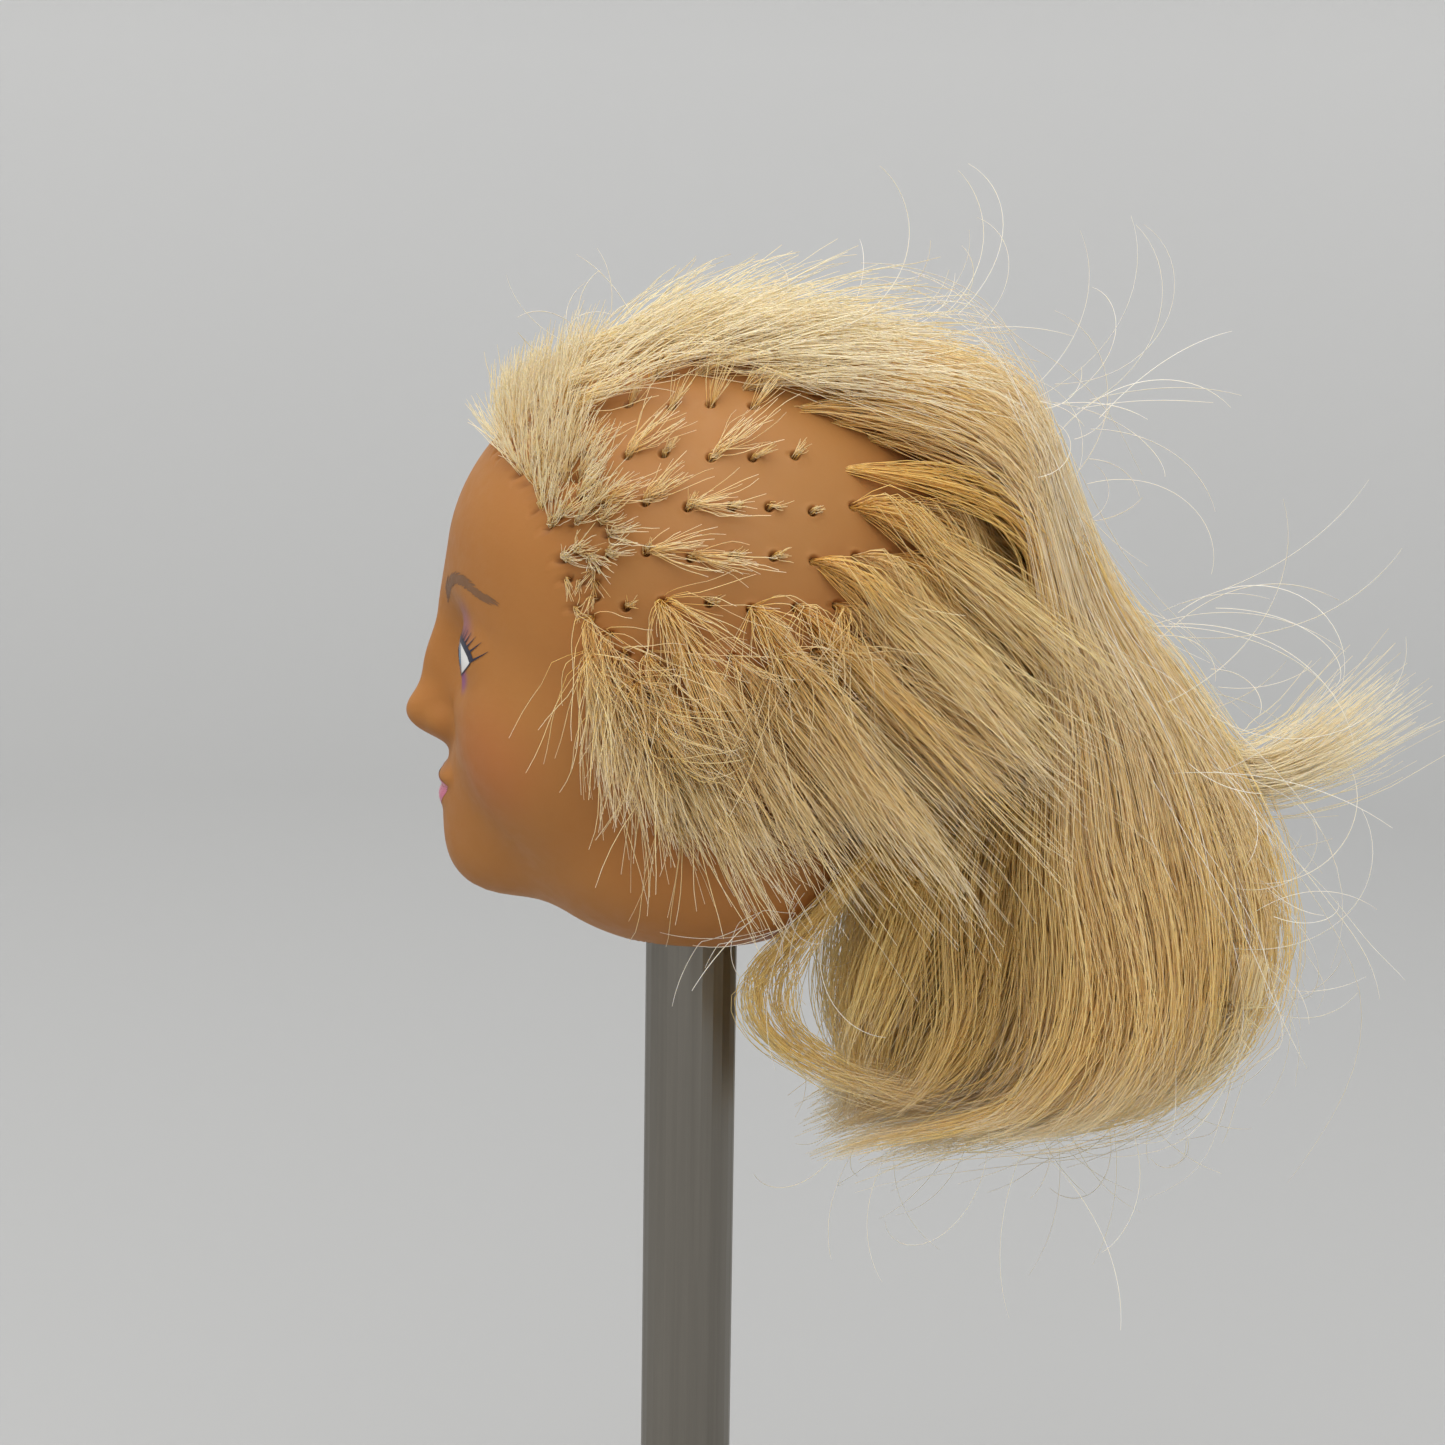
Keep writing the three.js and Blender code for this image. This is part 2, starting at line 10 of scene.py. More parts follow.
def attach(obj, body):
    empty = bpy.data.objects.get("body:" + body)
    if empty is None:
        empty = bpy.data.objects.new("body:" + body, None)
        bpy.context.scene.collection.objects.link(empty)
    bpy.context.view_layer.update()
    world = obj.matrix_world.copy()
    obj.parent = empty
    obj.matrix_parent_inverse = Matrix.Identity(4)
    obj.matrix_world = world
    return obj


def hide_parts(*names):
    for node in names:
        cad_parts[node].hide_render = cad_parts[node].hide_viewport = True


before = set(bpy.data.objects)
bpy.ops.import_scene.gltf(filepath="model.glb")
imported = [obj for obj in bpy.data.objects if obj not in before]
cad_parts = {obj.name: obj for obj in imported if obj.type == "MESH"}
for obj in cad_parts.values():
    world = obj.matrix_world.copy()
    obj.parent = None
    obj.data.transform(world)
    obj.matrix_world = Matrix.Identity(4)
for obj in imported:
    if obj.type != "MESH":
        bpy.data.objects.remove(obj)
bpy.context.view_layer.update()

MM = 0.001
RNG = np.random.default_rng(41)

# ---- The skin's form: the CAD head's own formula, in millimetres -----------------------------

HEAD_CORE = np.array([0.0, 0.5, 98.0])  # every point of the skin is in sight of this one


def mass(at, half, soft, paired=False, hollow=False):
    return {"at": np.array(at, float), "half": np.array(half, float), "soft": soft,
            "sides": (1, -1) if paired else (1,), "hollow": hollow}


HEAD_MASSES = [
    mass((0, 1.4, 103.3), (15.0, 16.2, 15.3), 0),  # cranium
    mass((0, -3.4, 104.6), (12.2, 12.0, 10.6), 4),  # forehead
    mass((0, -3.6, 95.5), (11.4, 11.4, 11.0), 5),  # middle of the face
    mass((0, -2.6, 88.6), (9.6, 11.2, 6.2), 4),  # jaw
    mass((0, 0.4, 85.2), (10.2, 10.4, 6.0), 3),  # neck rim
    mass((5.7, -8.7, 93.6), (4.6, 5.3, 5.0), 4, paired=True),  # cheek
    mass((0, -12.7, 85.7), (3.7, 3.3, 3.0), 3.6),  # chin
    mass((0, -11.9, 89.7), (4.3, 3.9, 3.9), 3),  # mouth mound
]
FACE_FEATURES = [
    mass((5.2, -17.3, 99.2), (3.9, 3.0, 2.7), 2.2, paired=True, hollow=True),  # eye socket
    mass((5.1, -11.4, 98.9), (3.9, 3.5, 3.6), 0.8, paired=True),  # eyeball and lid
    mass((0, -14.4, 98.8), (1.25, 1.9, 4.2), 2.4),  # top of the bridge
    mass((0, -15.5, 96.4), (1.2, 2.2, 3.2), 1.8),  # middle of the bridge
    mass((0, -16.5, 94.5), (1.45, 2.3, 1.5), 1.5),  # tip of the nose
    mass((1.3, -15.65, 93.9), (0.85, 1.4, 0.85), 0.9, paired=True),  # nostril wing
    mass((1.2, -15.45, 90.45), (1.9, 1.1, 0.72), 0.5, paired=True),  # upper lip
    mass((0, -15.4, 89.05), (2.3, 1.2, 0.88), 0.5),  # lower lip
    mass((13.9, 1.2, 97.0), (1.7, 2.6, 3.8), 0.8, paired=True),  # ear
]
SKIN = HEAD_MASSES + FACE_FEATURES


def soft_min(a, b, k):
    if k <= 0:
        return np.minimum(a, b)
    h = np.maximum(k - np.abs(a - b), 0) / k
    return np.minimum(a, b) - h * h * k / 4


def skin_distance(points, masses=SKIN):
    """Signed distance, roughly, from points of shape (n, 3) to the skin: negative inside."""
    distance = None
    for m in masses:
        for side in m["sides"]:
            scaled = (points - m["at"] * (side, 1, 1)) / m["half"]
            k0 = np.sqrt((scaled * scaled).sum(1))
            k1 = np.sqrt(((scaled / m["half"]) ** 2).sum(1))
            d = k0 * (k0 - 1) / np.maximum(k1, 1e-9)
            if distance is None:
                distance = d
            elif m["hollow"]:
                distance = -soft_min(-distance, d, m["soft"])
            else:
                distance = soft_min(distance, d, m["soft"])
    return distance


def cast(origins, directions, masses=SKIN, near=2.0, far=34.0):
    """How far the skin is from each origin inside it, along its direction."""
    low = np.full(len(directions), near)
    high = np.full(len(directions), far)
    for _ in range(17):
        middle = (low + high) / 2
        inside = skin_distance(origins + directions * middle[:, None], masses) < 0
        low = np.where(inside, middle, low)
        high = np.where(inside, high, middle)
    return (low + high) / 2


def core_reach(directions, masses=SKIN):
    """How far the skin is from HEAD_CORE in each direction."""
    return cast(np.broadcast_to(HEAD_CORE, directions.shape), directions, masses)


def unit(v):
    return v / np.maximum(np.linalg.norm(v, axis=-1, keepdims=True), 1e-12)


def skin_normal(points, masses=SKIN, step=0.05):
    grad = np.stack([
        skin_distance(points + shift, masses) - skin_distance(points - shift, masses)
        for shift in np.eye(3) * step
    ], axis=1)
    return unit(grad)


class ReachTable:
    """The skin's distance from HEAD_CORE, tabled by direction so that it is quick for many points."""

    ROWS, COLS = 120, 240

    def __init__(self, masses):
        polar = (np.arange(self.ROWS + 1) / self.ROWS) * math.pi
        turn = (np.arange(self.COLS + 1) / self.COLS) * 2 * math.pi
        p, t = np.meshgrid(polar, turn, indexing="ij")
        d = np.stack([np.sin(p) * np.cos(t), np.sin(p) * np.sin(t), np.cos(p)], -1).reshape(-1, 3)
        self.table = core_reach(d, masses).reshape(p.shape)

    def __call__(self, directions):
        p = np.arccos(np.clip(directions[..., 2], -1, 1)) / math.pi * self.ROWS
        t = (np.arctan2(directions[..., 1], directions[..., 0]) % (2 * math.pi)) / (2 * math.pi) * self.COLS
        i = np.clip(p.astype(int), 0, self.ROWS - 1)
        j = np.clip(t.astype(int), 0, self.COLS - 1)
        a, b = p - i, t - j
        low = self.table[i, j] * (1 - b) + self.table[i, j + 1] * b
        high = self.table[i + 1, j] * (1 - b) + self.table[i + 1, j + 1] * b
        return low * (1 - a) + high * a


REACH = ReachTable(HEAD_MASSES + FACE_FEATURES[-1:])


def keep_outside(paths, clearance):
    """Pushes points of paths (n, k, 3) out of the head until they clear it by clearance (n, k)."""
    offset = paths - HEAD_CORE
    r = np.linalg.norm(offset, axis=-1)
    d = offset / np.maximum(r, 1e-9)[..., None]
    need = REACH(d) + clearance
    return HEAD_CORE + d * np.maximum(r, need)[..., None]


# ---- Meshes ----------------------------------------------------------------------------------


def new_object(name, points_mm, faces=None, quads=None):
    """A mesh object from points in millimetres and either a list of faces or an array of quads."""
    me = bpy.data.meshes.new(name)
    if quads is None:
        me.from_pydata([tuple(p * MM) for p in points_mm], [], faces)
    else:
        me.vertices.add(len(points_mm))
        me.vertices.foreach_set("co", (points_mm * MM).astype(np.float32).ravel())
        me.loops.add(quads.size)
        me.loops.foreach_set("vertex_index", quads.ravel().astype(np.int32))
        me.polygons.add(len(quads))
        me.polygons.foreach_set("loop_start", (np.arange(len(quads)) * quads.shape[1]).astype(np.int32))
        me.update(calc_edges=True)
    me.polygons.foreach_set("use_smooth", np.ones(len(me.polygons), bool))
    ob = bpy.data.objects.new(name, me)
    bpy.context.scene.collection.objects.link(ob)
    return ob


def set_attribute(me, name, values):
    attribute = me.attributes.get(name) or me.attributes.new(name, "FLOAT", "POINT")
    attribute.data.foreach_set("value", np.asarray(values, np.float32).ravel())


def finish_piece(ob, material, body, replaces):
    ob.data.materials.append(material)
    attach(ob, body)
    if replaces:
        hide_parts(*replaces)


# ---- Materials -------------------------------------------------------------------------------


class Nodes:
    """A small helper that writes a material's node tree."""

    def __init__(self, name):
        self.material = bpy.data.materials.new(name)
        self.material.use_nodes = True
        self.tree = self.material.node_tree
        self.shader = self.tree.nodes["Principled BSDF"]

    def add(self, kind, **settings):
        node = self.tree.nodes.new(kind)
        for key, value in settings.items():
            setattr(node, key, value)
        return node

    def link(self, source, target):
        self.tree.links.new(source, target)

    def set(self, **values):
        for key, value in values.items():
            self.shader.inputs[key.replace("_", " ")].default_value = value

    def where(self, output="Object"):
        return self.add("ShaderNodeTexCoord").outputs[output]

    def feed(self, socket, value):
        """Gives an input a number, a colour or another node's output."""
        if isinstance(value, (int, float)):
            socket.default_value = value
        elif isinstance(value, tuple):
            socket.default_value = (*value, 1.0)
        else:
            self.link(value, socket)

    def stretched(self, vector, scale):
        node = self.add("ShaderNodeMapping")
        node.inputs["Scale"].default_value = scale
        self.link(vector, node.inputs["Vector"])
        return node.outputs["Vector"]

    def turned(self, vector):
        """(Distance from the Z axis, 0, z), so that a pattern in it runs in rings round the axis."""
        kinds = ("Separate", "Combine", "Combine")
        split, rings, flat = (self.add(f"ShaderNode{kind}XYZ") for kind in kinds)
        self.link(vector, split.inputs[0])
        self.link(split.outputs["X"], flat.inputs["X"])
        self.link(split.outputs["Y"], flat.inputs["Y"])
        radius = self.add("ShaderNodeVectorMath", operation="LENGTH")
        self.link(flat.outputs[0], radius.inputs[0])
        self.link(radius.outputs["Value"], rings.inputs["X"])
        self.link(split.outputs["Z"], rings.inputs["Z"])
        return rings.outputs[0]

    def noise(self, vector, scale, detail=4.0, roughness=0.5):
        node = self.add("ShaderNodeTexNoise")
        node.inputs["Scale"].default_value = scale
        node.inputs["Detail"].default_value = detail
        node.inputs["Roughness"].default_value = roughness
        self.link(vector, node.inputs["Vector"])
        return node.outputs["Fac"]

    def span(self, value, low, high, out_low=0.0, out_high=1.0, smooth=False):
        node = self.add("ShaderNodeMapRange", interpolation_type="SMOOTHSTEP" if smooth else "LINEAR")
        for key, v in (("From Min", low), ("From Max", high), ("To Min", out_low), ("To Max", out_high)):
            node.inputs[key].default_value = v
        self.link(value, node.inputs["Value"])
        return node.outputs["Result"]

    def maths(self, operation, a, b):
        node = self.add("ShaderNodeMath", operation=operation)
        self.feed(node.inputs[0], a)
        self.feed(node.inputs[1], b)
        return node.outputs[0]

    def mix(self, share, a, b):
        """Colour a, with b over it by share. Each may be a colour or a socket."""
        node = self.add("ShaderNodeMix", data_type="RGBA")
        first, second = (s for s in node.inputs if s.type == "RGBA")
        for socket, v in ((node.inputs[0], share), (first, a), (second, b)):
            self.feed(socket, v)
        return next(s for s in node.outputs if s.type == "RGBA")

    def ramp(self, value, stops):
        node = self.add("ShaderNodeValToRGB")
        ramp = node.color_ramp
        while len(ramp.elements) < len(stops):
            ramp.elements.new(0.5)
        for element, (place, colour) in zip(ramp.elements, stops):
            element.position = place
            element.color = (*colour, 1.0)
        self.link(value, node.inputs["Fac"])
        return node.outputs["Color"]

    def attribute(self, name):
        return self.add("ShaderNodeAttribute", attribute_name=name).outputs["Fac"]

    def spot(self, vector, centre_mm, radius_mm, soft_mm):
        """1 within radius of a point of the row frame, falling smoothly to 0 over soft."""
        node = self.add("ShaderNodeVectorMath", operation="DISTANCE")
        node.inputs[1].default_value = [c * MM for c in centre_mm]
        self.link(vector, node.inputs[0])
        return self.span(node.outputs["Value"], (radius_mm + soft_mm) * MM, radius_mm * MM, smooth=True)

    def bump(self, height, strength, distance_mm):
        node = self.add("ShaderNodeBump")
        node.inputs["Strength"].default_value = strength
        node.inputs["Distance"].default_value = distance_mm * MM
        self.link(height, node.inputs["Height"])
        self.link(node.outputs["Normal"], self.shader.inputs["Normal"])

    def colour(self, socket):
        self.link(socket, self.shader.inputs["Base Color"])

    def roughness(self, socket):
        self.link(socket, self.shader.inputs["Roughness"])


# Make-up sprayed on each side of the face: middle, radius and soft edge in millimetres, strength and colour.
SPRAYED = (
    ((8.8, -12.3, 92.6), 0.5, 5.0, 0.28, (0.50, 0.13, 0.05)),  # cheek
    ((6.3, -14.4, 97.6), 0.4, 1.1, 0.75, (0.22, 0.06, 0.24)),  # under the eye
    ((6.0, -14.6, 100.4), 0.7, 1.7, 0.5, (0.22, 0.08, 0.19)),  # upper lid
)


def vinyl_material():
    n = Nodes("satin_vinyl")
    at = n.where()
    tan, deep, pale = (0.385, 0.158, 0.038), (0.335, 0.124, 0.026), (0.425, 0.192, 0.054)
    colour = n.mix(n.span(n.noise(at, 160, 3), 0.35, 0.7, 0.0, 0.35), tan, deep)
    colour = n.mix(n.span(n.noise(at, 60, 2), 0.45, 0.75, 0.0, 0.3), colour, pale)
    for side in (1, -1):
        for (x, y, z), radius, soft, strength, paint in SPRAYED:
            spot = n.spot(at, (x * side, y, z), radius, soft)
            colour = n.mix(n.maths("MULTIPLY", spot, strength), colour, paint)
    # behind the hairline the skin turns a darker, yellower tan: painted shade under the hair, with painted
    # golden light reflected from the hair
    colour = n.mix(n.span(n.attribute("scalp"), 0, 1, 0.0, 0.75), colour, (0.37, 0.172, 0.050))
    # the plug holes are darkened to orange-brown: painted shade in the sunk holes
    colour = n.mix(n.attribute("plug"), colour, (0.20, 0.07, 0.014))
    n.colour(colour)
    n.roughness(n.span(n.noise(at, 900, 3), 0.3, 0.7, 0.48, 0.62))
    n.bump(n.noise(at, 2600, 3), 0.25, 0.05)
    n.set(Subsurface_Weight=0.12, Subsurface_Scale=0.0015, Subsurface_Radius=(1.0, 0.45, 0.2),
          Specular_IOR_Level=0.26)
    return n.material


def hair_material(name, root, middle, tip, end=None, last=None, stops=(0.22, 0.5, 0.8), glow=0.2):
    """Synthetic fibre: deep golden where it leaves the plug, which is painted shade, and paler towards the
    end, partly a painted highlight; no two fibres quite alike.

    stops are the shares of its length where middle, tip and end are reached, and last is the colour at the
    very end. glow is how far light spreads in it, in millimetres."""
    n = Nodes(name)
    at = n.where()
    along, tone = n.attribute("along"), n.attribute("tone")
    end = end or tip
    # darker at the root as painted shade, paler at the very end partly as painted highlight
    colour = n.ramp(along, ((0.0, root), *zip(stops, (middle, tip, end)), (1.0, last or end)))
    paler, deeper = n.span(tone, 0.35, 0.85, 0.0, 0.6), n.span(tone, 0.3, 0.1, 0.0, 0.6)
    colour = n.mix(paler, n.mix(deeper, colour, middle), end)
    colour = n.mix(n.span(n.noise(at, 420, 2), 0.45, 0.75, 0.0, 0.3), colour, middle)
    n.colour(colour)
    n.roughness(n.span(tone, 0.0, 1.0, 0.22, 0.38))
    n.set(Specular_IOR_Level=0.16, Subsurface_Weight=0.55, Subsurface_Scale=glow * MM,
          Subsurface_Radius=(1.0, 0.75, 0.4))
    return n.material


def tinted(colour, by):
    return tuple(min(1.0, c * by) for c in colour)


def steel_material(name, colour, streak_scale, rough):
    """Brushed steel. Its streaks follow streak_scale. Where that is None, they run round the Z axis."""
    n = Nodes(name)
    at = n.where()
    along = n.turned(at) if streak_scale is None else n.stretched(at, streak_scale)
    streaks = n.noise(along, 1600, 4, 0.65)
    broad = n.noise(along, 300, 2)
    tint = n.mix(n.span(streaks, 0.3, 0.7, 0.0, 0.5), colour, tinted(colour, 0.72))
    tint = n.mix(n.span(broad, 0.45, 0.7, 0.0, 0.4), tint, tinted(colour, 1.2))
    n.colour(tint)
    n.roughness(n.span(streaks, 0.25, 0.75, *rough))
    n.bump(streaks, 0.35, 0.02)
    n.set(Metallic=1.0, Anisotropic=0.5)
    return n.material


def plastic_material(name, colour, rough, grain=1500, depth=0.15):
    n = Nodes(name)
    at = n.where()
    n.colour(n.mix(n.span(n.noise(at, 300, 3), 0.35, 0.7, 0.0, 0.5), colour, tinted(colour, 0.8)))
    n.roughness(n.span(n.noise(at, grain, 3), 0.3, 0.7, rough - 0.06, rough + 0.08))
    n.bump(n.noise(at, grain, 4), depth, 0.04)
    return n.material


def paint_material(name, colour, rough=0.3, variation=0.25):
    n = Nodes(name)
    at = n.where()
    n.colour(n.mix(n.span(n.noise(at, 1400, 3), 0.3, 0.7, 0.0, variation), colour, tinted(colour, 0.6)))
    n.roughness(n.span(n.noise(at, 2500, 2), 0.3, 0.7, rough - 0.05, rough + 0.08))
    n.bump(n.noise(at, 3000, 2), 0.1, 0.02)
    return n.material


VINYL = vinyl_material()
STEEL = steel_material("brushed_steel_bar", (0.23, 0.213, 0.185), (1.0, 1.0, 0.02), (0.34, 0.46))
STEEL_TURNED = steel_material("turned_steel", (0.42, 0.41, 0.39), None, (0.24, 0.4))
STEEL_DARK = steel_material("dark_turned_steel", (0.15, 0.15, 0.16), None, (0.28, 0.42))
RUBBER = plastic_material("matt_rubber", (0.022, 0.022, 0.024), 0.8, 1800, 0.4)
NYLON = plastic_material("natural_nylon", (0.80, 0.77, 0.69), 0.45)
SOCKET = plastic_material("socket_plastic", (0.42, 0.33, 0.24), 0.42)
# Lit and shaded copies of one fibre colour. The nape and cut fibres are lightened as painted light for hair
# that lies in shade. The crown and pale fibres are paler as painted highlight on the outer hair, the cropped
# top, the fringe brush, the flicked lock and the curled ends. The stub fibre is darkened as painted shade
# for stubs sunk in the plugs.
LONG_HAIR = hair_material("long_fibre", (0.90, 0.42, 0.08), (0.94, 0.51, 0.135), (0.925, 0.58, 0.21),
                          last=(0.985, 0.81, 0.51), stops=(0.22, 0.5, 0.9))
NAPE_HAIR = hair_material("nape_fibre", (0.93, 0.44, 0.08), (0.985, 0.56, 0.12), (0.99, 0.66, 0.19),
                          last=(0.985, 0.80, 0.48), glow=0.5)
CUT_HAIR = hair_material("cut_fibre", (0.72, 0.25, 0.03), (0.985, 0.56, 0.145), (0.99, 0.70, 0.30),
                         last=(0.995, 0.82, 0.50), stops=(0.24, 0.55, 0.8), glow=0.4)
BUNDLE_HAIR = hair_material("bundle_fibre", (0.70, 0.25, 0.03), (0.965, 0.54, 0.145), (0.98, 0.70, 0.30),
                            last=(0.985, 0.78, 0.44), stops=(0.24, 0.6, 0.85), glow=0.3)
PALE_HAIR = hair_material("pale_fibre", (0.86, 0.42, 0.09), (0.96, 0.65, 0.27), (0.975, 0.79, 0.48))
LOOSE_HAIR = hair_material("loose_fibre", (0.95, 0.74, 0.42), (0.97, 0.82, 0.56), (0.985, 0.88, 0.68))
CROWN_HAIR = hair_material("crown_fibre", (0.88, 0.42, 0.09), (0.96, 0.65, 0.31), (0.97, 0.775, 0.51),
                           (0.94, 0.56, 0.18), last=(0.985, 0.80, 0.49), stops=(0.2, 0.4, 0.86))
STUB_HAIR = hair_material("stub_fibre", (0.46, 0.18, 0.03), (0.80, 0.40, 0.10), (0.92, 0.63, 0.30))

CAD_LOOKS = {
    "base_pad": RUBBER, "base_plate": STEEL_TURNED, "base_screw": STEEL_DARK, "base_lock_washer": STEEL_DARK,
    "base_ferrule": STEEL_TURNED, "post_bar": STEEL, "post_bush": NYLON, "neck_peg": STEEL_DARK,
    "thrust_washer": NYLON, "spindle_clip": STEEL_DARK, "neck_ball": NYLON, "neck_socket": SOCKET,
    "socket_cap": SOCKET, "socket_ring": STEEL_DARK, "root_lining": LONG_HAIR,
}
for node, look in CAD_LOOKS.items():
    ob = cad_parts[node]
    ob.data.materials.clear()
    ob.data.materials.append(look)

# ---- Plugs: where the hair is rooted ----------------------------------------------------------

ROW_STEP = 2.95  # height between rows of plugs
PLUG_STEP = 2.6  # distance between plugs in a row
TOP_ROW_Z = 114.9
ROWS = 11
FEWEST_IN_ROW = 12
CROPPED_X = 4.0  # the cut hair lies to the left of this
CRANIUM_Z, CRANIUM_R, CRANIUM_HALF_HEIGHT = 103.3, 15.0, 15.6
CROWN_RINGS = ((0.72, 17), (0.45, 11), (0.2, 5), (0.0, 1))  # each ring's share of the crown, and its plugs
# The front edge of the hair, as (z, y).
HAIRLINE = (
    (84, 4.0), (88, -0.8), (92, -3.4), (97, -4.9), (101.9, -7.0), (107.1, -8.6), (111, -11.2), (115, -15.0),
)


def look_up(value, table):
    """What a table of (place, result) gives at a value between its places."""
    places, results = zip(*table)
    return np.interp(value, places, results)


def hairline_y(z):
    """How far forward the hair grows at a height."""
    return look_up(z, HAIRLINE)


def on_scalp(points):
    """Where hair grows: behind the hairline, above the neck and off the ears."""
    x, y, z = points.T
    off_ear = ((y - 1.2) / 3.4) ** 2 + ((z - 97.0) / 4.6) ** 2 > 1
    keep = (y > hairline_y(z)) & (z > 85.2) & (off_ear | (z > 100) | (np.abs(x) < 6))
    return keep & ~((z < 88) & (y < 3))


def plug_points():
    rows = []
    for k in range(ROWS):
        z = TOP_ROW_Z - ROW_STEP * k
        share = math.sqrt(max(0.1, 1 - ((z - CRANIUM_Z) / CRANIUM_HALF_HEIGHT) ** 2))
        count = max(FEWEST_IN_ROW, round(2 * math.pi * CRANIUM_R * share / PLUG_STEP))
        turn = (np.arange(count) + 0.5 * (k % 2)) / count * 2 * math.pi
        d = np.stack([np.sin(turn), -np.cos(turn), np.zeros(count)], 1)
        origin = np.array([0.0, 0.9, z])
        rows.append(origin + d * cast(np.broadcast_to(origin, d.shape), d, HEAD_MASSES, near=1.0)[:, None])
    for share, count in CROWN_RINGS:
        turn = np.arange(count) / count * 2 * math.pi + share
        x, y = 9.6 * share * np.sin(turn), 1.2 - 10.4 * share * np.cos(turn)
        origin = np.stack([x, y, np.full(count, 104.0)], 1)
        up = np.broadcast_to(np.array([0.0, 0.0, 1.0]), origin.shape)
        rows.append(origin + up * cast(origin, up, HEAD_MASSES)[:, None])
    points = np.concatenate(rows)
    points = points + RNG.normal(0, 0.12, points.shape)
    d = unit(points - HEAD_CORE)
    points = HEAD_CORE + d * REACH(d)[:, None]
    return points[on_scalp(points)]


PLUGS = plug_points()
PLUG_NORMALS = skin_normal(PLUGS, HEAD_MASSES)

# Bare patch on the head's left side, where the hair is cut away: an outline in side view, as (y, z).
BARE_EDGE = (
    (-8.2, 104.6), (6.5, 104.6), (7.6, 107.0), (7.9, 110.4), (9.0, 113.4), (4.0, 115.8), (-7.4, 116.4),
)


def inside_outline(y, z, outline):
    inside = np.zeros(len(y), bool)
    for (y0, z0), (y1, z1) in zip(outline, outline[1:] + outline[:1]):
        crosses = (z0 > z) != (z1 > z)
        with np.errstate(divide="ignore", invalid="ignore"):
            inside ^= crosses & (y < (y1 - y0) * (z - z0) / ((z1 - z0) or 1e-9) + y0)
    return inside


# The width of the fringe along the hairline, as (z, width).
FRINGE_WIDTH = ((102.0, 1.5), (104.5, 2.2), (107, 3.6), (109, 4.0), (112, 4.6), (115.5, 6.8))


def in_fringe(points):
    """The dense strip of short hair along the hairline, on the front and the left."""
    x, y, z = points.T
    behind = y - hairline_y(z)
    in_strip = (behind > 0) & (behind < look_up(z, FRINGE_WIDTH))
    return in_strip & (z > 102.5) & (z < 116.2) & (x > -9) & (y < 0)


def in_side_edge(points):
    """The strip of hair along the hairline below the temple, on the left."""
    x, y, z = points.T
    behind = y - hairline_y(z)
    return (behind > 0) & (behind < 2.6) & (z > 91.0) & (z <= 102.5) & (x > 4) & (y < 5)


def scattered(spacing, accept, tries=16000):
    """Points of the scalp that accept allows, at least spacing apart."""
    d = unit(RNG.normal(0, 1, (tries, 3)))
    points = HEAD_CORE + d * REACH(d)[:, None]
    points = points[accept(points)]
    kept = []
    for p in points:
        if all((p - q) @ (p - q) > spacing * spacing for q in kept):
            kept.append(p)
    return np.array(kept)


def in_bare(points):
    x, y, z = points.T
    return (x > CROPPED_X) & inside_outline(y, z, BARE_EDGE) & ~in_fringe(points)


def in_side_cut(points):
    x, y, z = points.T
    lowest = np.interp(y, (-3, 3, 9), (90.5, 89.0, 86.0))
    return (x > CROPPED_X) & (z < 104.6) & (z > lowest) & (y < 11.0) & ~in_bare(points) & ~in_fringe(points)


def in_back_cut(points):
    x, y, z = points.T
    back_left = (x > CROPPED_X) & (y > 3.0) & (y < 15.8) & (z > 90) & (z < 111.0)
    return back_left & ~in_bare(points) & ~in_side_cut(points)


def in_top(points):
    """The cropped top of the head, between the fringe and the crown."""
    x, y, z = points.T
    return (z > 113.6) & (y < 4.5) & (x > -6) & ~in_fringe(points) & ~inside_outline(y, z, BARE_EDGE)


def in_long(points):
    taken = in_bare(points) | in_fringe(points) | in_side_cut(points) | in_back_cut(points) | in_top(points)
    x, y, z = points.T
    left_low = (x > CROPPED_X) & (y < 9.0) & (z < 92)
    return on_scalp(points) & ~taken & ~left_low & ~((x > -6) & (y < 3.5) & (z > 100))


BARE, SIDE_CUT, BACK_CUT = in_bare(PLUGS), in_side_cut(PLUGS), in_back_cut(PLUGS)
# every other plug of the side hair's first row is cropped too
THINNED = SIDE_CUT & (PLUGS[:, 2] > 101.6) & (PLUGS[:, 1] < 6.0) & (np.arange(len(PLUGS)) % 2 == 0)
BARE, SIDE_CUT = BARE | THINNED, SIDE_CUT & ~THINNED
FRINGE_ROOTS = scattered(0.85, in_fringe)
TOP_ROOTS = scattered(1.7, in_top)
SIDE_EDGE_ROOTS = scattered(1.25, in_side_edge)
LONG_ROOTS = scattered(1.9, in_long)
DENTS = np.concatenate([PLUGS[BARE | SIDE_CUT | BACK_CUT], FRINGE_ROOTS, SIDE_EDGE_ROOTS])

# ---- The head's skin -------------------------------------------------------------------------

FACE_LINES, SIDE_LINES = 140, 62
NECK_HOLE_R = 5.3
NECK_FLOOR_Z = 82.0
NECK_INNER_R = 7.2
NECK_INNER_TOP = 86.0
# The neck's opening, from its lower edge up into the head, as (radius, z).
NECK_WALL = (
    (NECK_HOLE_R + 0.06, 80.35), (NECK_HOLE_R, 80.6), (NECK_HOLE_R, NECK_FLOOR_Z),
    (NECK_INNER_R, NECK_FLOOR_Z), (NECK_INNER_R, NECK_INNER_TOP),
)


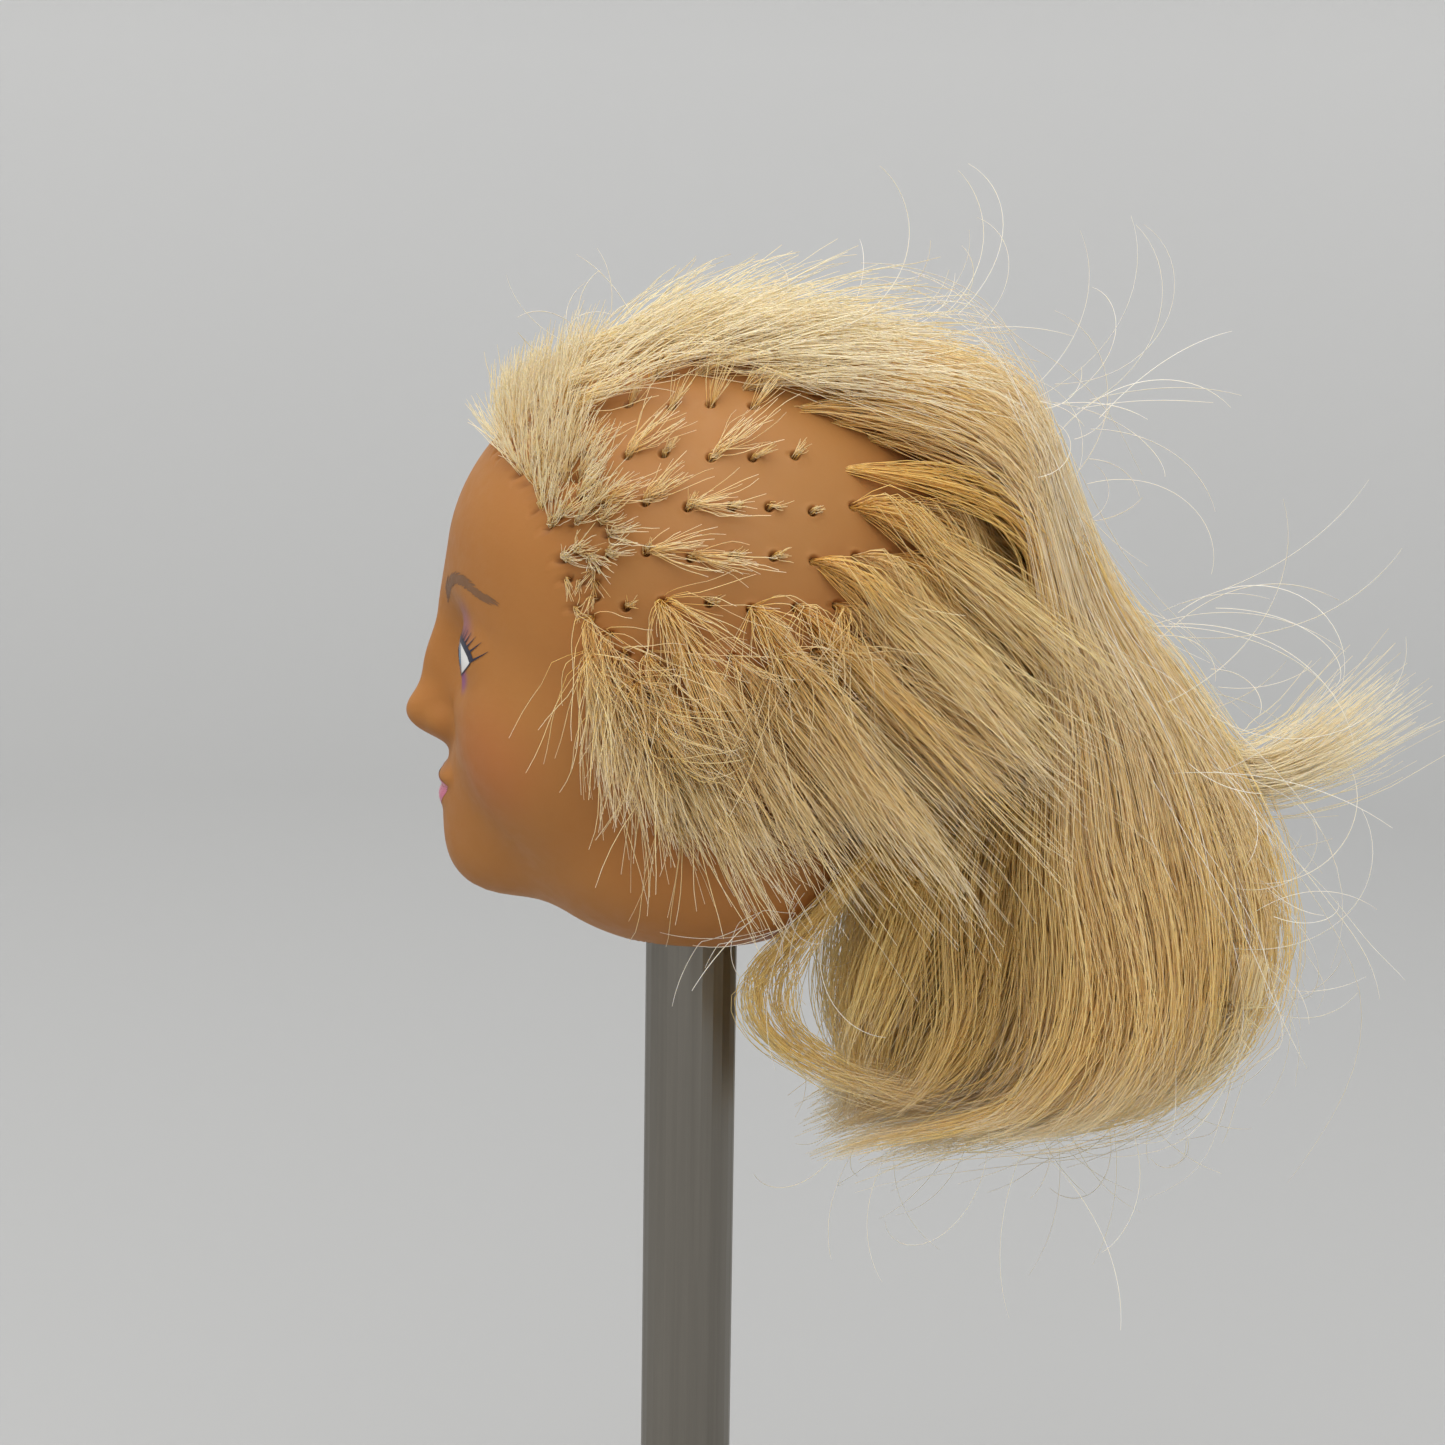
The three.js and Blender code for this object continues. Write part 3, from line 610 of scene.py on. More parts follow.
def ball_grid(across, along):
    """Directions and quads of a cube's grid blown up to a ball, finest near each face's middle."""
    counts = (across, along, across)
    corners, quads = [], []
    base = 0
    for n_axis in range(3):
        a_axis, b_axis = (n_axis + 1) % 3, (n_axis + 2) % 3
        na, nb = counts[a_axis], counts[b_axis]
        for sign in (0, 1):
            grid = np.zeros((na + 1, nb + 1, 3), int)
            grid[..., n_axis] = sign * counts[n_axis]
            grid[..., a_axis] = np.arange(na + 1)[:, None]
            grid[..., b_axis] = np.arange(nb + 1)[None, :]
            index = base + np.arange((na + 1) * (nb + 1)).reshape(na + 1, nb + 1)
            q = np.stack([index[:-1, :-1], index[1:, :-1], index[1:, 1:], index[:-1, 1:]], -1).reshape(-1, 4)
            quads.append(q if sign else q[:, ::-1])
            corners.append(grid.reshape(-1, 3))
            base += (na + 1) * (nb + 1)
    corners, quads = np.concatenate(corners), np.concatenate(quads)
    _, first, inverse = np.unique(corners, axis=0, return_index=True, return_inverse=True)
    v = corners[first] / np.array(counts) * 2 - 1
    v = np.tan(v * (0.65 + 0.35 * v * v) * math.pi / 4)
    return unit(v), inverse.reshape(-1)[quads]


def distance_to_nearest(points, plugs):
    tree = kdtree.KDTree(len(plugs))
    for i, p in enumerate(plugs):
        tree.insert(Vector(p), i)
    tree.balance()
    return np.array([tree.find(Vector(p))[2] for p in points])


def refine_round_plugs(bm):
    """Finer cells round the plugs that show."""
    shown = PLUGS[BARE | ((SIDE_CUT | BACK_CUT) & (PLUGS[:, 2] > 98))]
    centres = np.array([f.calc_center_median() for f in bm.faces]) / MM
    near = [f for f, d in zip(bm.faces, distance_to_nearest(centres, shown)) if d < 0.55]
    edges = list({e for f in near for e in f.edges})
    bmesh.ops.subdivide_edges(bm, edges=edges, cuts=3, use_grid_fill=True)
    bmesh.ops.triangulate(bm, faces=[f for f in bm.faces if len(f.verts) > 4])


def at_radius(vert, radius_mm):
    """The point in the vertex's direction from the Z axis, at a radius and on the floor."""
    return Vector((vert.co.x, vert.co.y, 0)).normalized() * radius_mm * MM


def open_neck(bm):
    """The hole under the neck and its wall."""
    co = np.array([v.co for v in bm.verts]) / MM
    r = np.hypot(co[:, 0], co[:, 1])
    bm.verts.ensure_lookup_table()
    gone = [bm.verts[i] for i in np.nonzero((r < NECK_HOLE_R + 0.15) & (co[:, 2] < NECK_INNER_TOP))[0]]
    bmesh.ops.delete(bm, geom=gone, context="VERTS")
    rim = [e for e in bm.edges if e.is_boundary]
    for v in {v for e in rim for v in e.verts}:
        flat = at_radius(v, NECK_HOLE_R + 0.25)
        v.co.x, v.co.y = flat.x, flat.y
    for radius, z in NECK_WALL:
        made = bmesh.ops.extrude_edge_only(bm, edges=rim)["geom"]
        rim = [e for e in made if isinstance(e, bmesh.types.BMEdge)]
        for v in (v for v in made if isinstance(v, bmesh.types.BMVert)):
            flat = at_radius(v, radius)
            v.co = Vector((flat.x, flat.y, z * MM))
    bmesh.ops.recalc_face_normals(bm, faces=bm.faces)


def settle_skin(me):
    """Puts every outside point on the skin, with the plugs sunk in, and marks the plugs and the scalp, where
    the skin's colour gets its painted shade.
    """
    co = np.zeros(len(me.vertices) * 3, np.float32)
    me.vertices.foreach_get("co", co)
    co = co.reshape(-1, 3).astype(float) / MM
    r = np.hypot(co[:, 0], co[:, 1])
    in_neck = (r < NECK_INNER_R + 0.1) & (co[:, 2] < NECK_INNER_TOP + 0.5) & (co[:, 2] > 80.2)
    outside = ~(in_neck & (skin_distance(co) < -0.05))
    d = unit(co[outside] - HEAD_CORE)
    reach = core_reach(d)
    distance = distance_to_nearest(HEAD_CORE + d * reach[:, None], DENTS)
    dent = 0.55 * np.exp(-((distance / 0.25) ** 4)) - 0.05 * np.exp(-(((distance - 0.42) / 0.14) ** 2))
    co[outside] = HEAD_CORE + d * (reach - dent)[:, None]
    me.vertices.foreach_set("co", (co * MM).astype(np.float32).ravel())
    plug = np.zeros(len(co))
    plug[outside] = np.exp(-((distance / 0.33) ** 3))
    set_attribute(me, "plug", plug)
    behind = co[:, 1] - hairline_y(co[:, 2])
    set_attribute(me, "scalp", np.clip(behind / 3.5, 0, 1) * (co[:, 2] > 84))
    me.update()


def build_skin():
    directions, quads = ball_grid(FACE_LINES, SIDE_LINES)
    ob = new_object("head_skin", HEAD_CORE + directions * core_reach(directions)[:, None], quads=quads)
    bm = bmesh.new()
    bm.from_mesh(ob.data)
    refine_round_plugs(bm)
    open_neck(bm)
    bm.to_mesh(ob.data)
    bm.free()
    settle_skin(ob.data)
    finish_piece(ob, VINYL, "head", ["head_shell"])


build_skin()

# ---- Painted face: thin layers of paint that lie on the skin -----------------------------------


def front_of_skin(x, z):
    """The skin's y on the face's front at each (x, z)."""
    points = np.stack([x, np.zeros_like(x), z], 1)
    low, high = np.full(len(x), -24.0), np.full(len(x), -4.0)
    for _ in range(18):
        middle = (low + high) / 2
        points[:, 1] = middle
        inside = skin_distance(points) < 0
        high = np.where(inside, middle, high)
        low = np.where(inside, low, middle)
    points[:, 1] = (low + high) / 2
    return points


def on_face(xz, lift):
    points = front_of_skin(xz[:, 0], xz[:, 1])
    return points + skin_normal(points) * lift


def patch(outline, centre, lift, rings=8):
    """A painted area: points and quads of rings that grow from a centre to an outline in (x, z)."""
    outline, centre = np.array(outline, float), np.array(centre, float)
    n = len(outline)
    shares = np.linspace(0.04, 1.0, rings)
    xz = np.concatenate([centre + (outline - centre) * s for s in shares])
    faces = [[r * n + i, r * n + (i + 1) % n, (r + 1) * n + (i + 1) % n, (r + 1) * n + i]
             for r in range(rings - 1) for i in range(n)]
    faces.append(list(range(n))[::-1])
    return on_face(xz, lift), faces


def stroke(line, widths, lift):
    """A painted stroke along a line in (x, z), with a width at each point."""
    line = np.array(line, float)
    direction = unit(np.gradient(line, axis=0))
    across = np.stack([-direction[:, 1], direction[:, 0]], 1) * np.array(widths)[:, None] / 2
    xz = np.concatenate([line + across, line - across])
    n = len(line)
    return on_face(xz, lift), [[i, i + 1, n + i + 1, n + i] for i in range(n - 1)]


def painted(name, parts, material, sides=(1, -1)):
    """One piece from several patches and strokes, made on the left and mirrored to the right."""
    points, faces = [], []
    for p, f in parts:
        for side in sides:
            start = sum(len(q) for q in points)
            points.append(p * (side, 1, 1))
            faces += [[start + i for i in (face if side == 1 else face[::-1])] for face in f]
    ob = new_object(name, np.concatenate(points), faces=faces)
    finish_piece(ob, material, "head", ())


EYE = np.array([5.35, 98.55])
EYE_HALF_WIDTH = 2.75
EYE_UP, EYE_DOWN = 1.35, 1.05
IRIS = EYE + (0.05, 0.12)
EYE_LIGHT = IRIS + (-0.35, 0.42)
LID = np.linspace(-1, 1, 25)  # from the inner corner of the eye to the outer one
LOWER_LASHES_FROM = 6  # the point of LID where they start
LIP_SEAM_Z, LIP_HALF_WIDTH = 89.74, 2.85


def eyelid(t, upper=True):
    """A point of the lid's edge: t runs from the inner corner, -1, to the outer one, 1."""
    t = np.asarray(t, float)
    arch = np.maximum(1 - t * t, 0) ** 0.75
    z = EYE_UP * arch if upper else -EYE_DOWN * arch
    return np.stack([EYE[0] + EYE_HALF_WIDTH * t, EYE[1] + z + 0.22 * t], -1)


def circle(centre, radius, n=40):
    turn = np.arange(n) / n * 2 * math.pi
    return np.stack([centre[0] + radius * np.cos(turn), centre[1] + radius * np.sin(turn)], 1)


def within_lids(outline):
    """The outline with its points held between the lids."""
    t = np.clip((outline[:, 0] - EYE[0]) / EYE_HALF_WIDTH, -1, 1)
    high, low = eyelid(t)[:, 1], eyelid(t, upper=False)[:, 1]
    return np.stack([outline[:, 0], np.clip(outline[:, 1], low, high)], 1)


def build_eyes():
    almond = np.concatenate([eyelid(LID), eyelid(LID[::-1][1:-1], upper=False)])
    painted("eye_whites", [patch(almond, EYE, 0.012)],
            paint_material("paint_eye_white", (0.78, 0.77, 0.75), 0.2, 0.1))
    painted("eye_irises", [patch(within_lids(circle(IRIS, 1.22)), IRIS, 0.024)],
            paint_material("paint_iris", (0.06, 0.17, 0.28), 0.2, 0.6))
    painted("eye_pupils", [patch(within_lids(circle(IRIS, 0.62)), IRIS, 0.036)],
            paint_material("paint_pupil", (0.008, 0.01, 0.02), 0.15))
    painted("eye_lights", [patch(circle(EYE_LIGHT, 0.24), EYE_LIGHT, 0.048, 4)],
            paint_material("paint_eye_light", (0.9, 0.9, 0.9), 0.15, 0.05))


def build_lashes():
    lower = eyelid(LID[LOWER_LASHES_FROM:], upper=False)
    lashes = [stroke(eyelid(LID), 0.16 + 0.28 * (LID + 1) / 2, 0.042),
              stroke(lower, np.full(len(lower), 0.09), 0.042)]
    u = np.linspace(0, 1, 7)[:, None]
    for s in np.linspace(-0.35, 1.0, 11):
        lean = 0.15 + 0.75 * (s + 0.35)
        length = 0.7 + 0.5 * max(0.0, s)
        out = np.array([math.sin(lean), math.cos(lean)]) * length
        curl = np.array([0.0, 0.22]) * length
        line = eyelid(s) + out * u + curl * u * u
        lashes.append(stroke(line, 0.15 * (1 - u[:, 0]) + 0.02, 0.046))
    painted("eye_lashes", lashes, paint_material("paint_lashes", (0.012, 0.012, 0.035), 0.4))


def build_eyebrows():
    hairs = []
    u = np.linspace(0, 1, 5)[:, None]
    for s in np.linspace(0, 1, 46):
        arch = 1.75 * math.sin(min(1.0, s * 1.12 + 0.06) * math.pi * 0.72)
        middle = np.array([2.3 + 6.9 * s, 102.0 + arch - 0.5 * s * s])
        slope = 0.85 - 1.25 * s
        heading = np.array([math.cos(slope), math.sin(slope)]) * 0.8
        for row in np.linspace(-0.5, 0.5, 4):
            start = middle + np.array([0.0, row * 0.72 * (1 - 0.75 * s)]) + RNG.normal(0, 0.05, 2)
            hairs.append(stroke(start + heading * u, 0.13 * (1 - 0.7 * u[:, 0]), 0.014))
    painted("eyebrows", hairs, paint_material("paint_brow", (0.20, 0.09, 0.032), 0.55))


def between(x, first, second):
    """An outline along the first line and back along the second."""
    return np.concatenate([np.stack([x, first], 1), np.stack([x, second], 1)[-2:0:-1]])


def build_lips():
    x = np.linspace(-1, 1, 31)
    seam = LIP_SEAM_Z + 0.10 * np.abs(x) ** 2 - 0.05 * np.exp(-(x / 0.2) ** 2)
    top = seam + 1.22 * (1 - np.abs(x) ** 1.8) - 0.24 * np.exp(-(x / 0.15) ** 2)
    low = seam - 1.42 * (1 - np.abs(x) ** 2.4)
    upper = between(x * LIP_HALF_WIDTH, top, seam)
    lower = between(x * LIP_HALF_WIDTH * 0.94, seam - 0.04, low)
    lips = [patch(upper, (0.0, LIP_SEAM_Z + 0.5), 0.02, 10), patch(lower, (0.0, LIP_SEAM_Z - 0.7), 0.02, 10)]
    painted("lips", lips, paint_material("paint_lips", (0.56, 0.13, 0.22), 0.3, 0.1), sides=(1,))


build_eyes()
build_lashes()
build_eyebrows()
build_lips()

# ---- Hair ------------------------------------------------------------------------------------

FIBRE_R = 0.026
ROOT_DEPTH = 0.35  # how far under the skin a fibre starts
ROOT_SCATTER = 0.09  # how far fibres of one plug start from each other
SUNK = -0.5  # the clearance of a fibre's first point, which lets it lie in its plug


def map_strips(me, strips, cells):
    """A UV map for strips of quads: each strip is a row of cells, and the rows fill the square."""
    across = max(1, round(math.sqrt(strips / cells)))
    down = math.ceil(strips / across)
    strip, cell = np.divmod(np.arange(strips * cells), cells)
    left = ((strip % across) * (cells + 0.5) + cell) / (across * (cells + 0.5))
    low = (strip // across) / down
    wide, tall = 1 / (across * (cells + 0.5)), 0.8 / down
    corners = np.array([(0, 0), (0, 1), (1, 1), (1, 0)])
    uv = np.stack([left, low], 1)[:, None] + corners[None] * (wide, tall)
    layer = me.uv_layers.new(name="OFBake")
    layer.data.foreach_set("uv", uv.astype(np.float32).ravel())


def fibres(name, paths, material, replaces=(), radius=FIBRE_R, taper=0.55, per_plug=1, start_along=0.0):
    """One mesh of three-sided fibres along paths (n, k, 3), in millimetres. Each ends thinner by taper.

    Fibres whose first part is left out begin at start_along of their length, which sets their colour."""
    n, k, _ = paths.shape
    tangent = unit(np.gradient(paths, axis=1))
    side = np.zeros_like(paths)
    side[:, 0] = unit(np.cross(tangent[:, 0], unit(RNG.normal(0, 1, (n, 3)))))
    for i in range(1, k):
        s = side[:, i - 1] - tangent[:, i] * (side[:, i - 1] * tangent[:, i]).sum(1, keepdims=True)
        side[:, i] = unit(s)
    other = np.cross(tangent, side)
    along = np.broadcast_to(np.linspace(0, 1, k), (n, k))
    girth = radius * RNG.uniform(0.85, 1.15, (n, 1)) * (1 - (1 - taper) * np.clip((along - 0.8) / 0.2, 0, 1))
    rings = []
    for c in range(3):
        angle = c * 2 * math.pi / 3
        rings.append(paths + (side * math.cos(angle) + other * math.sin(angle)) * girth[..., None])
    points = np.stack(rings, 2).reshape(-1, 3)
    index = np.arange(n * k * 3).reshape(n, k, 3)
    nxt = np.roll(index, -1, axis=2)
    quads = np.stack([index[:, :-1], nxt[:, :-1], nxt[:, 1:], index[:, 1:]], -1)
    ob = new_object(name, points, quads=quads.transpose(0, 2, 1, 3).reshape(-1, 4))
    map_strips(ob.data, n * 3, k - 1)
    set_attribute(ob.data, "along", np.repeat(start_along + (1 - start_along) * along.reshape(-1), 3))
    plug_tone = np.repeat(RNG.uniform(0, 1, math.ceil(n / per_plug)), per_plug)[:n]
    tone = 0.65 * plug_tone + 0.35 * RNG.uniform(0, 1, n)
    set_attribute(ob.data, "tone", np.repeat(tone, k * 3))
    finish_piece(ob, material, "head", replaces)


def sway(n, k, size, turns=1.6):
    """Smooth sideways wander of fibres (n, k, 3), nothing at the root."""
    t = np.linspace(0, 1, k)[None, :, None]
    phase = RNG.uniform(0, 2 * math.pi, (2, n, 1, 3))
    rate = RNG.uniform(0.5, turns, (2, n, 1, 3))
    wave = np.sin(2 * math.pi * rate[0] * t + phase[0]) - np.sin(phase[0])
    wave = wave + 0.5 * (np.sin(4 * math.pi * rate[1] * t + phase[1]) - np.sin(phase[1]))
    return wave * np.asarray(size).reshape(-1, 1, 1) * t


def tufts(roots, normals, directions, lengths, per_plug, spread, k=8, lift=0.35, fall=0.15, fan=0.08,
          clearance=0.3, raggedness=0.12, wander=0.12, layered=0.0, widest=99.0, opening=1.5):
    """Fibres that leave each plug as a bundle and open up over opening millimetres to a lock that spreads.

    They lie along the skin, lift is how steeply they leave it, fall is how much they sink over their length,
    and a layered share of them is cut shorter. They hardly stand farther out sideways than x = widest."""
    which = np.repeat(np.arange(len(roots)), per_plug)
    n = len(which)
    normal = normals[which]
    flow = directions[which]
    flat = unit(flow - normal * (flow * normal).sum(1, keepdims=True))
    heading = unit(flat + normal * lift + RNG.normal(0, fan, (n, 3)))
    length = lengths[which] * (1 + RNG.normal(0, raggedness, n)).clip(0.35, 1.5)
    length = (length * np.where(RNG.uniform(0, 1, n) < layered, RNG.uniform(0.3, 0.95, n), 1))[:, None, None]
    t = np.linspace(0, 1, k)[None, :, None]
    spread_out = (1 - np.exp(-(t * length) / 0.8)) * np.minimum(1, 0.35 + 0.65 * t * length / opening)
    offset = RNG.normal(0, 1, (n, 3))
    offset *= np.minimum(1, 1.5 / np.linalg.norm(offset, axis=1, keepdims=True)) * spread
    offset -= normal * (offset * normal).sum(1, keepdims=True) * 0.4
    start = roots[which] - normal * ROOT_DEPTH + RNG.normal(0, ROOT_SCATTER, (n, 3))
    rise = normal[:, None] * (1 - np.exp(-t * length / 1.2)) * 0.5
    paths = start[:, None] + heading[:, None] * t * length + offset[:, None] * spread_out + rise
    paths[..., 2] -= (fall * t * t * length)[..., 0]
    paths = paths + sway(n, k, wander * length[:, 0, 0] / 8, turns=0.8)
    need = clearance * np.minimum(1, t[..., 0] * 5) * RNG.uniform(0.4, 1.6, (n, 1))
    need[:, 0] = SUNK
    excess = np.maximum(paths[..., 0] - widest - RNG.uniform(-1.2, 1.2, (n, 1)), 0)
    paths[..., 0] -= excess * excess / (excess + 1.0)
    return keep_outside(paths, need)


def side_direction(degrees, outward=0.0):
    """A heading in side view: 0 is straight back, 90 straight down, -90 straight up."""
    a = np.radians(degrees)
    return np.stack([np.full_like(a, outward), np.cos(a), -np.sin(a)], 1)


# The slanting edge that the side hair is cut to, as (y, z).
BLUNT_LINE = (
    (-9, 90.8), (-6.5, 90.4), (-3.5, 90.0), (1.5, 87.8), (5.5, 85.6), (13.7, 84.8), (20, 88.2), (26, 92.5),
    (32, 100),
)
MESSY_TUFTS = 190


def blunt_lengths(y, z, degrees):
    """How long hair is that reaches from (y, z) to the blunt edge, found by stepping closer to it."""
    a = np.radians(degrees)
    length = np.full(len(y), 12.0)
    for _ in range(12):
        edge = look_up(y + length * np.cos(a), BLUNT_LINE)
        length = 0.5 * length + 0.5 * np.clip((z - edge) / np.sin(a), 2.5, 22)
    return length


def build_temple():
    """Stubs in the bare patch's plugs, with a few longer wisps."""
    roots, normals = PLUGS[BARE], PLUG_NORMALS[BARE]
    m = len(roots)
    y, z = roots[:, 1], roots[:, 2]
    back = np.clip((y + 6) / 14, 0, 1)
    low = np.clip((109.5 - z) / 5, 0, 1)
    upper_row = z > 113.2
    upright = RNG.uniform(-90, -60, m)
    leaning = RNG.uniform(-95, -25, m) + 45 * back
    heading = side_direction(np.where(upper_row, upright, leaning), 0.15)
    length = np.where(upper_row, RNG.uniform(1.6, 2.6, m), RNG.uniform(0.5, 1.1, m))
    stubs = tufts(roots, normals, heading, length, 20, 0.26, k=6, lift=0.8, fall=0.0, fan=0.16,
                  raggedness=0.3, wander=0.2, clearance=0.1)
    fibres("temple_stubs", stubs, STUB_HAIR, replaces=["left_temple_stubble"], taper=0.7)
    chosen = (RNG.uniform(0, 1, m) < 0.25 + 0.6 * low * back) & ~upper_row
    heading = side_direction(-25 + 45 * low + RNG.normal(0, 14, m), 0.1)
    length = RNG.uniform(2.0, 4.0, m) + 1.5 * low
    wisps = tufts(roots[chosen], normals[chosen], heading[chosen], length[chosen], 26, 0.6, k=7, lift=0.3,
                  fall=0.03, fan=0.16, raggedness=0.3, wander=0.25, clearance=0.4, opening=2.5)
    fibres("temple_wisps", wisps, CUT_HAIR, taper=0.7, per_plug=26)


def build_hairline():
    """The brush of the cropped front hairline, and stubs at its lower end."""
    roots, normals = FRINGE_ROOTS, skin_normal(FRINGE_ROOTS, HEAD_MASSES)
    x, y, z = roots.T
    top = np.clip((z - 106) / 5, 0, 1)
    forward = np.clip(1 - (y - hairline_y(z)) / 3.0, 0, 1)
    heading = side_direction(5 - (70 + 40 * forward) * top + RNG.normal(0, 18, len(roots)))
    heading[:, 0] += 0.25 * x / 12
    length = np.interp(z, (102.5, 104.5, 107, 110, 113), (0.9, 1.2, 2.6, 3.0, 3.1))
    length = length * RNG.uniform(0.85, 1.25, len(roots))
    low = z < 105.4
    brush = tufts(roots[~low], normals[~low], heading[~low], length[~low], 30, 0.6, k=6, lift=0.75, fall=0.0,
                  fan=0.15, raggedness=0.22, wander=0.2, layered=0.3, opening=2.0)
    fibres("hairline_brush", brush, PALE_HAIR, replaces=["hairline_fringe"], taper=0.6, per_plug=30)
    heading = side_direction(RNG.uniform(60, 130, low.sum()), 0.1)
    stubs = tufts(roots[low], normals[low], heading, length[low], 10, 0.4, k=6, lift=0.5, fall=0.0, fan=0.25,
                  raggedness=0.3, wander=0.2, layered=0.4, clearance=0.15)
    fibres("hairline_stubs", stubs, STUB_HAIR, taper=0.6, per_plug=14)


def build_side_hair():
    """The hair over the ear, cut to a blunt slanting edge, with messy tufts in it."""
    pieces = []
    for roots, count, width in ((PLUGS[SIDE_CUT], 90, 0.95), (SIDE_EDGE_ROOTS, 20, 0.5)):
        normals = skin_normal(roots, HEAD_MASSES)
        y, z = roots[:, 1], roots[:, 2]
        noise = RNG.normal(0, 8, len(roots)).clip(-12, 7)
        degrees = np.interp(y, (-5, -3, -1, 2, 9), (76, 66, 56, 46, 38)) + noise
        length = blunt_lengths(y, z, degrees) * RNG.uniform(0.6, 1.0, len(roots)) ** 0.8
        pieces.append(tufts(
            roots, normals, side_direction(degrees, 0.05), length, count, width, k=9, lift=0.16, fall=0.05,
            fan=0.055, clearance=1.2, raggedness=0.14, wander=0.2, layered=0.5, widest=15.3, opening=7))
    loose = np.concatenate([PLUGS[SIDE_CUT], SIDE_EDGE_ROOTS])
    loose = loose[loose[:, 2] > 92.0]
    loose = loose[RNG.integers(0, len(loose), MESSY_TUFTS)]
    heading = side_direction(RNG.uniform(5, 105, MESSY_TUFTS), 0.1)
    length = RNG.uniform(2.5, 8.5, MESSY_TUFTS)
    messy = tufts(loose, skin_normal(loose, HEAD_MASSES), heading, length, 5, 0.8, k=9, lift=0.4, fall=0.06,
                  fan=0.3, clearance=1.6, wander=0.25, widest=17.0)
    fibres("side_cut_hair", pieces[0], CUT_HAIR, replaces=["left_side_cut"], taper=0.7, per_plug=90)
    fibres("side_edge_hair", np.concatenate([pieces[1], messy]), CUT_HAIR, taper=0.7, per_plug=26)


def build_back_bundles():
    """The back of the left side: longer bundles that sweep down and back."""
    roots, normals = PLUGS[BACK_CUT], PLUG_NORMALS[BACK_CUT]
    z = roots[:, 2]
    degrees = np.interp(z, (92, 100, 111), (40, 31, 22)) + RNG.normal(0, 6, len(roots))
    length = np.interp(z, (92, 100, 111), (10, 14, 16)) + RNG.uniform(-2, 1.5, len(roots))
    back = tufts(roots, normals, side_direction(degrees), length, 120, 1.0, k=10, lift=0.14, fall=0.24,
                 fan=0.045, clearance=1.6, raggedness=0.17, wander=0.24, layered=0.4, widest=15.3, opening=8)
    fibres("back_left_bundles", back, BUNDLE_HAIR, replaces=["left_back_layer"], taper=0.7, per_plug=120)


def build_cropped_top():
    """The top, cropped and swept back over the crown."""
    roots, normals = TOP_ROOTS, skin_normal(TOP_ROOTS, HEAD_MASSES)
    y = roots[:, 1]
    degrees = np.interp(y, (-10, 0, 7), (-24, -8, 9)) + RNG.normal(0, 10, len(roots))
    length = np.interp(y, (-12, -6, 0, 7), (5, 9, 11, 10)) + RNG.uniform(0, 2.0, len(roots))
    top = tufts(roots, normals, side_direction(degrees), length, 60, 0.8, k=9, lift=0.24, fall=0.15,
                fan=0.09, clearance=1.2, raggedness=0.2, wander=0.25, layered=0.45, opening=6)
    fibres("crown_cropped_hair", top, PALE_HAIR, replaces=["crown_sweep"], taper=0.7, per_plug=64)


build_temple()
build_hairline()
build_side_hair()
build_back_bundles()
build_cropped_top()

# The long hair fills the room between an outer and an inner course, both as (y, z) from crown to tips.
OUTER_COURSE = np.array([
    (4.0, 123.4), (12.2, 123.8), (18.3, 121.1), (21.6, 115.6), (23.9, 109.4), (26.5, 103.0),
    (30.2, 97.2), (33.4, 91.5), (35.9, 85.5), (36.8, 79.5), (35.3, 74.4), (31.5, 70.8),
    (26.5, 68.8), (19.5, 67.7), (12.5, 66.9), (7.4, 65.0),
])
INNER_COURSE = np.array([
    (5.0, 119.6), (11.0, 117.2), (15.2, 112.5), (17.6, 107.5), (18.8, 102.5), (18.8, 97.5),
    (17.8, 93.0), (15.6, 88.8), (13.2, 84.6), (11.6, 80.6), (10.8, 77.2), (10.6, 74.4),
    (10.8, 72.2), (10.9, 70.4), (10.3, 68.9), (9.0, 67.3),
])
EDGE_LEFT = np.array([7.0, 7.5, 7.5, 7.0, 6.5, 6.5, 7.0, 8.0, 9.0, 9.5, 10.0, 10.0, 9.5, 9.0, 8.0, 7.0])
EDGE_RIGHT = np.array([
    -9.5, -12.5, -15.0, -16.5, -17.0, -17.0, -16.5, -16.0,
    -15.5, -15.0, -14.0, -13.0, -11.5, -10.5, -9.5, -8.5,
])
DENSE = 300


def smooth_line(stations, count=DENSE):
    """Dense points on a Catmull-Rom curve through the stations."""
    before, after = 2 * stations[:1] - stations[1:2], 2 * stations[-1:] - stations[-2:-1]
    padded = np.concatenate([before, stations, after])
    s = np.linspace(0, len(stations) - 1, count)
    i = np.minimum(s.astype(int), len(stations) - 2)
    t = (s - i)[:, None]
    a, b, c, d = (padded[i + j] for j in range(4))
    return 0.5 * (2 * b + (c - a) * t + (2 * a - 5 * b + 4 * c - d) * t**2 + (3 * b - a - 3 * c + d) * t**3)


OUTER, INNER = smooth_line(OUTER_COURSE), smooth_line(INNER_COURSE)
EDGES = smooth_line(np.stack([EDGE_LEFT, EDGE_RIGHT], 1))


def sampled(table, place):
    """The rows of a table, at row numbers that needn't be whole."""
    rows = np.arange(len(table))
    return np.stack([np.interp(place, rows, column) for column in table.T], -1)


def in_course(s, u, v):
    """A point of the long hair: s from crown to tips, u from right to left, v from the inner course out."""
    share = (v + 1) / 2 * (1 - 0.38 * u * u * np.interp(s, (0, 0.5, 0.8), (1, 1, 0.35)))
    place = np.clip(s, 0, 1) * (DENSE - 1)
    outer, inner, edge = sampled(OUTER, place), sampled(INNER, place), sampled(EDGES, place)
    yz = inner + (outer - inner) * share[..., None]
    x = edge[..., 1] + (edge[..., 0] - edge[..., 1]) * (u + 1) / 2
    return np.concatenate([x[..., None], yz], -1)


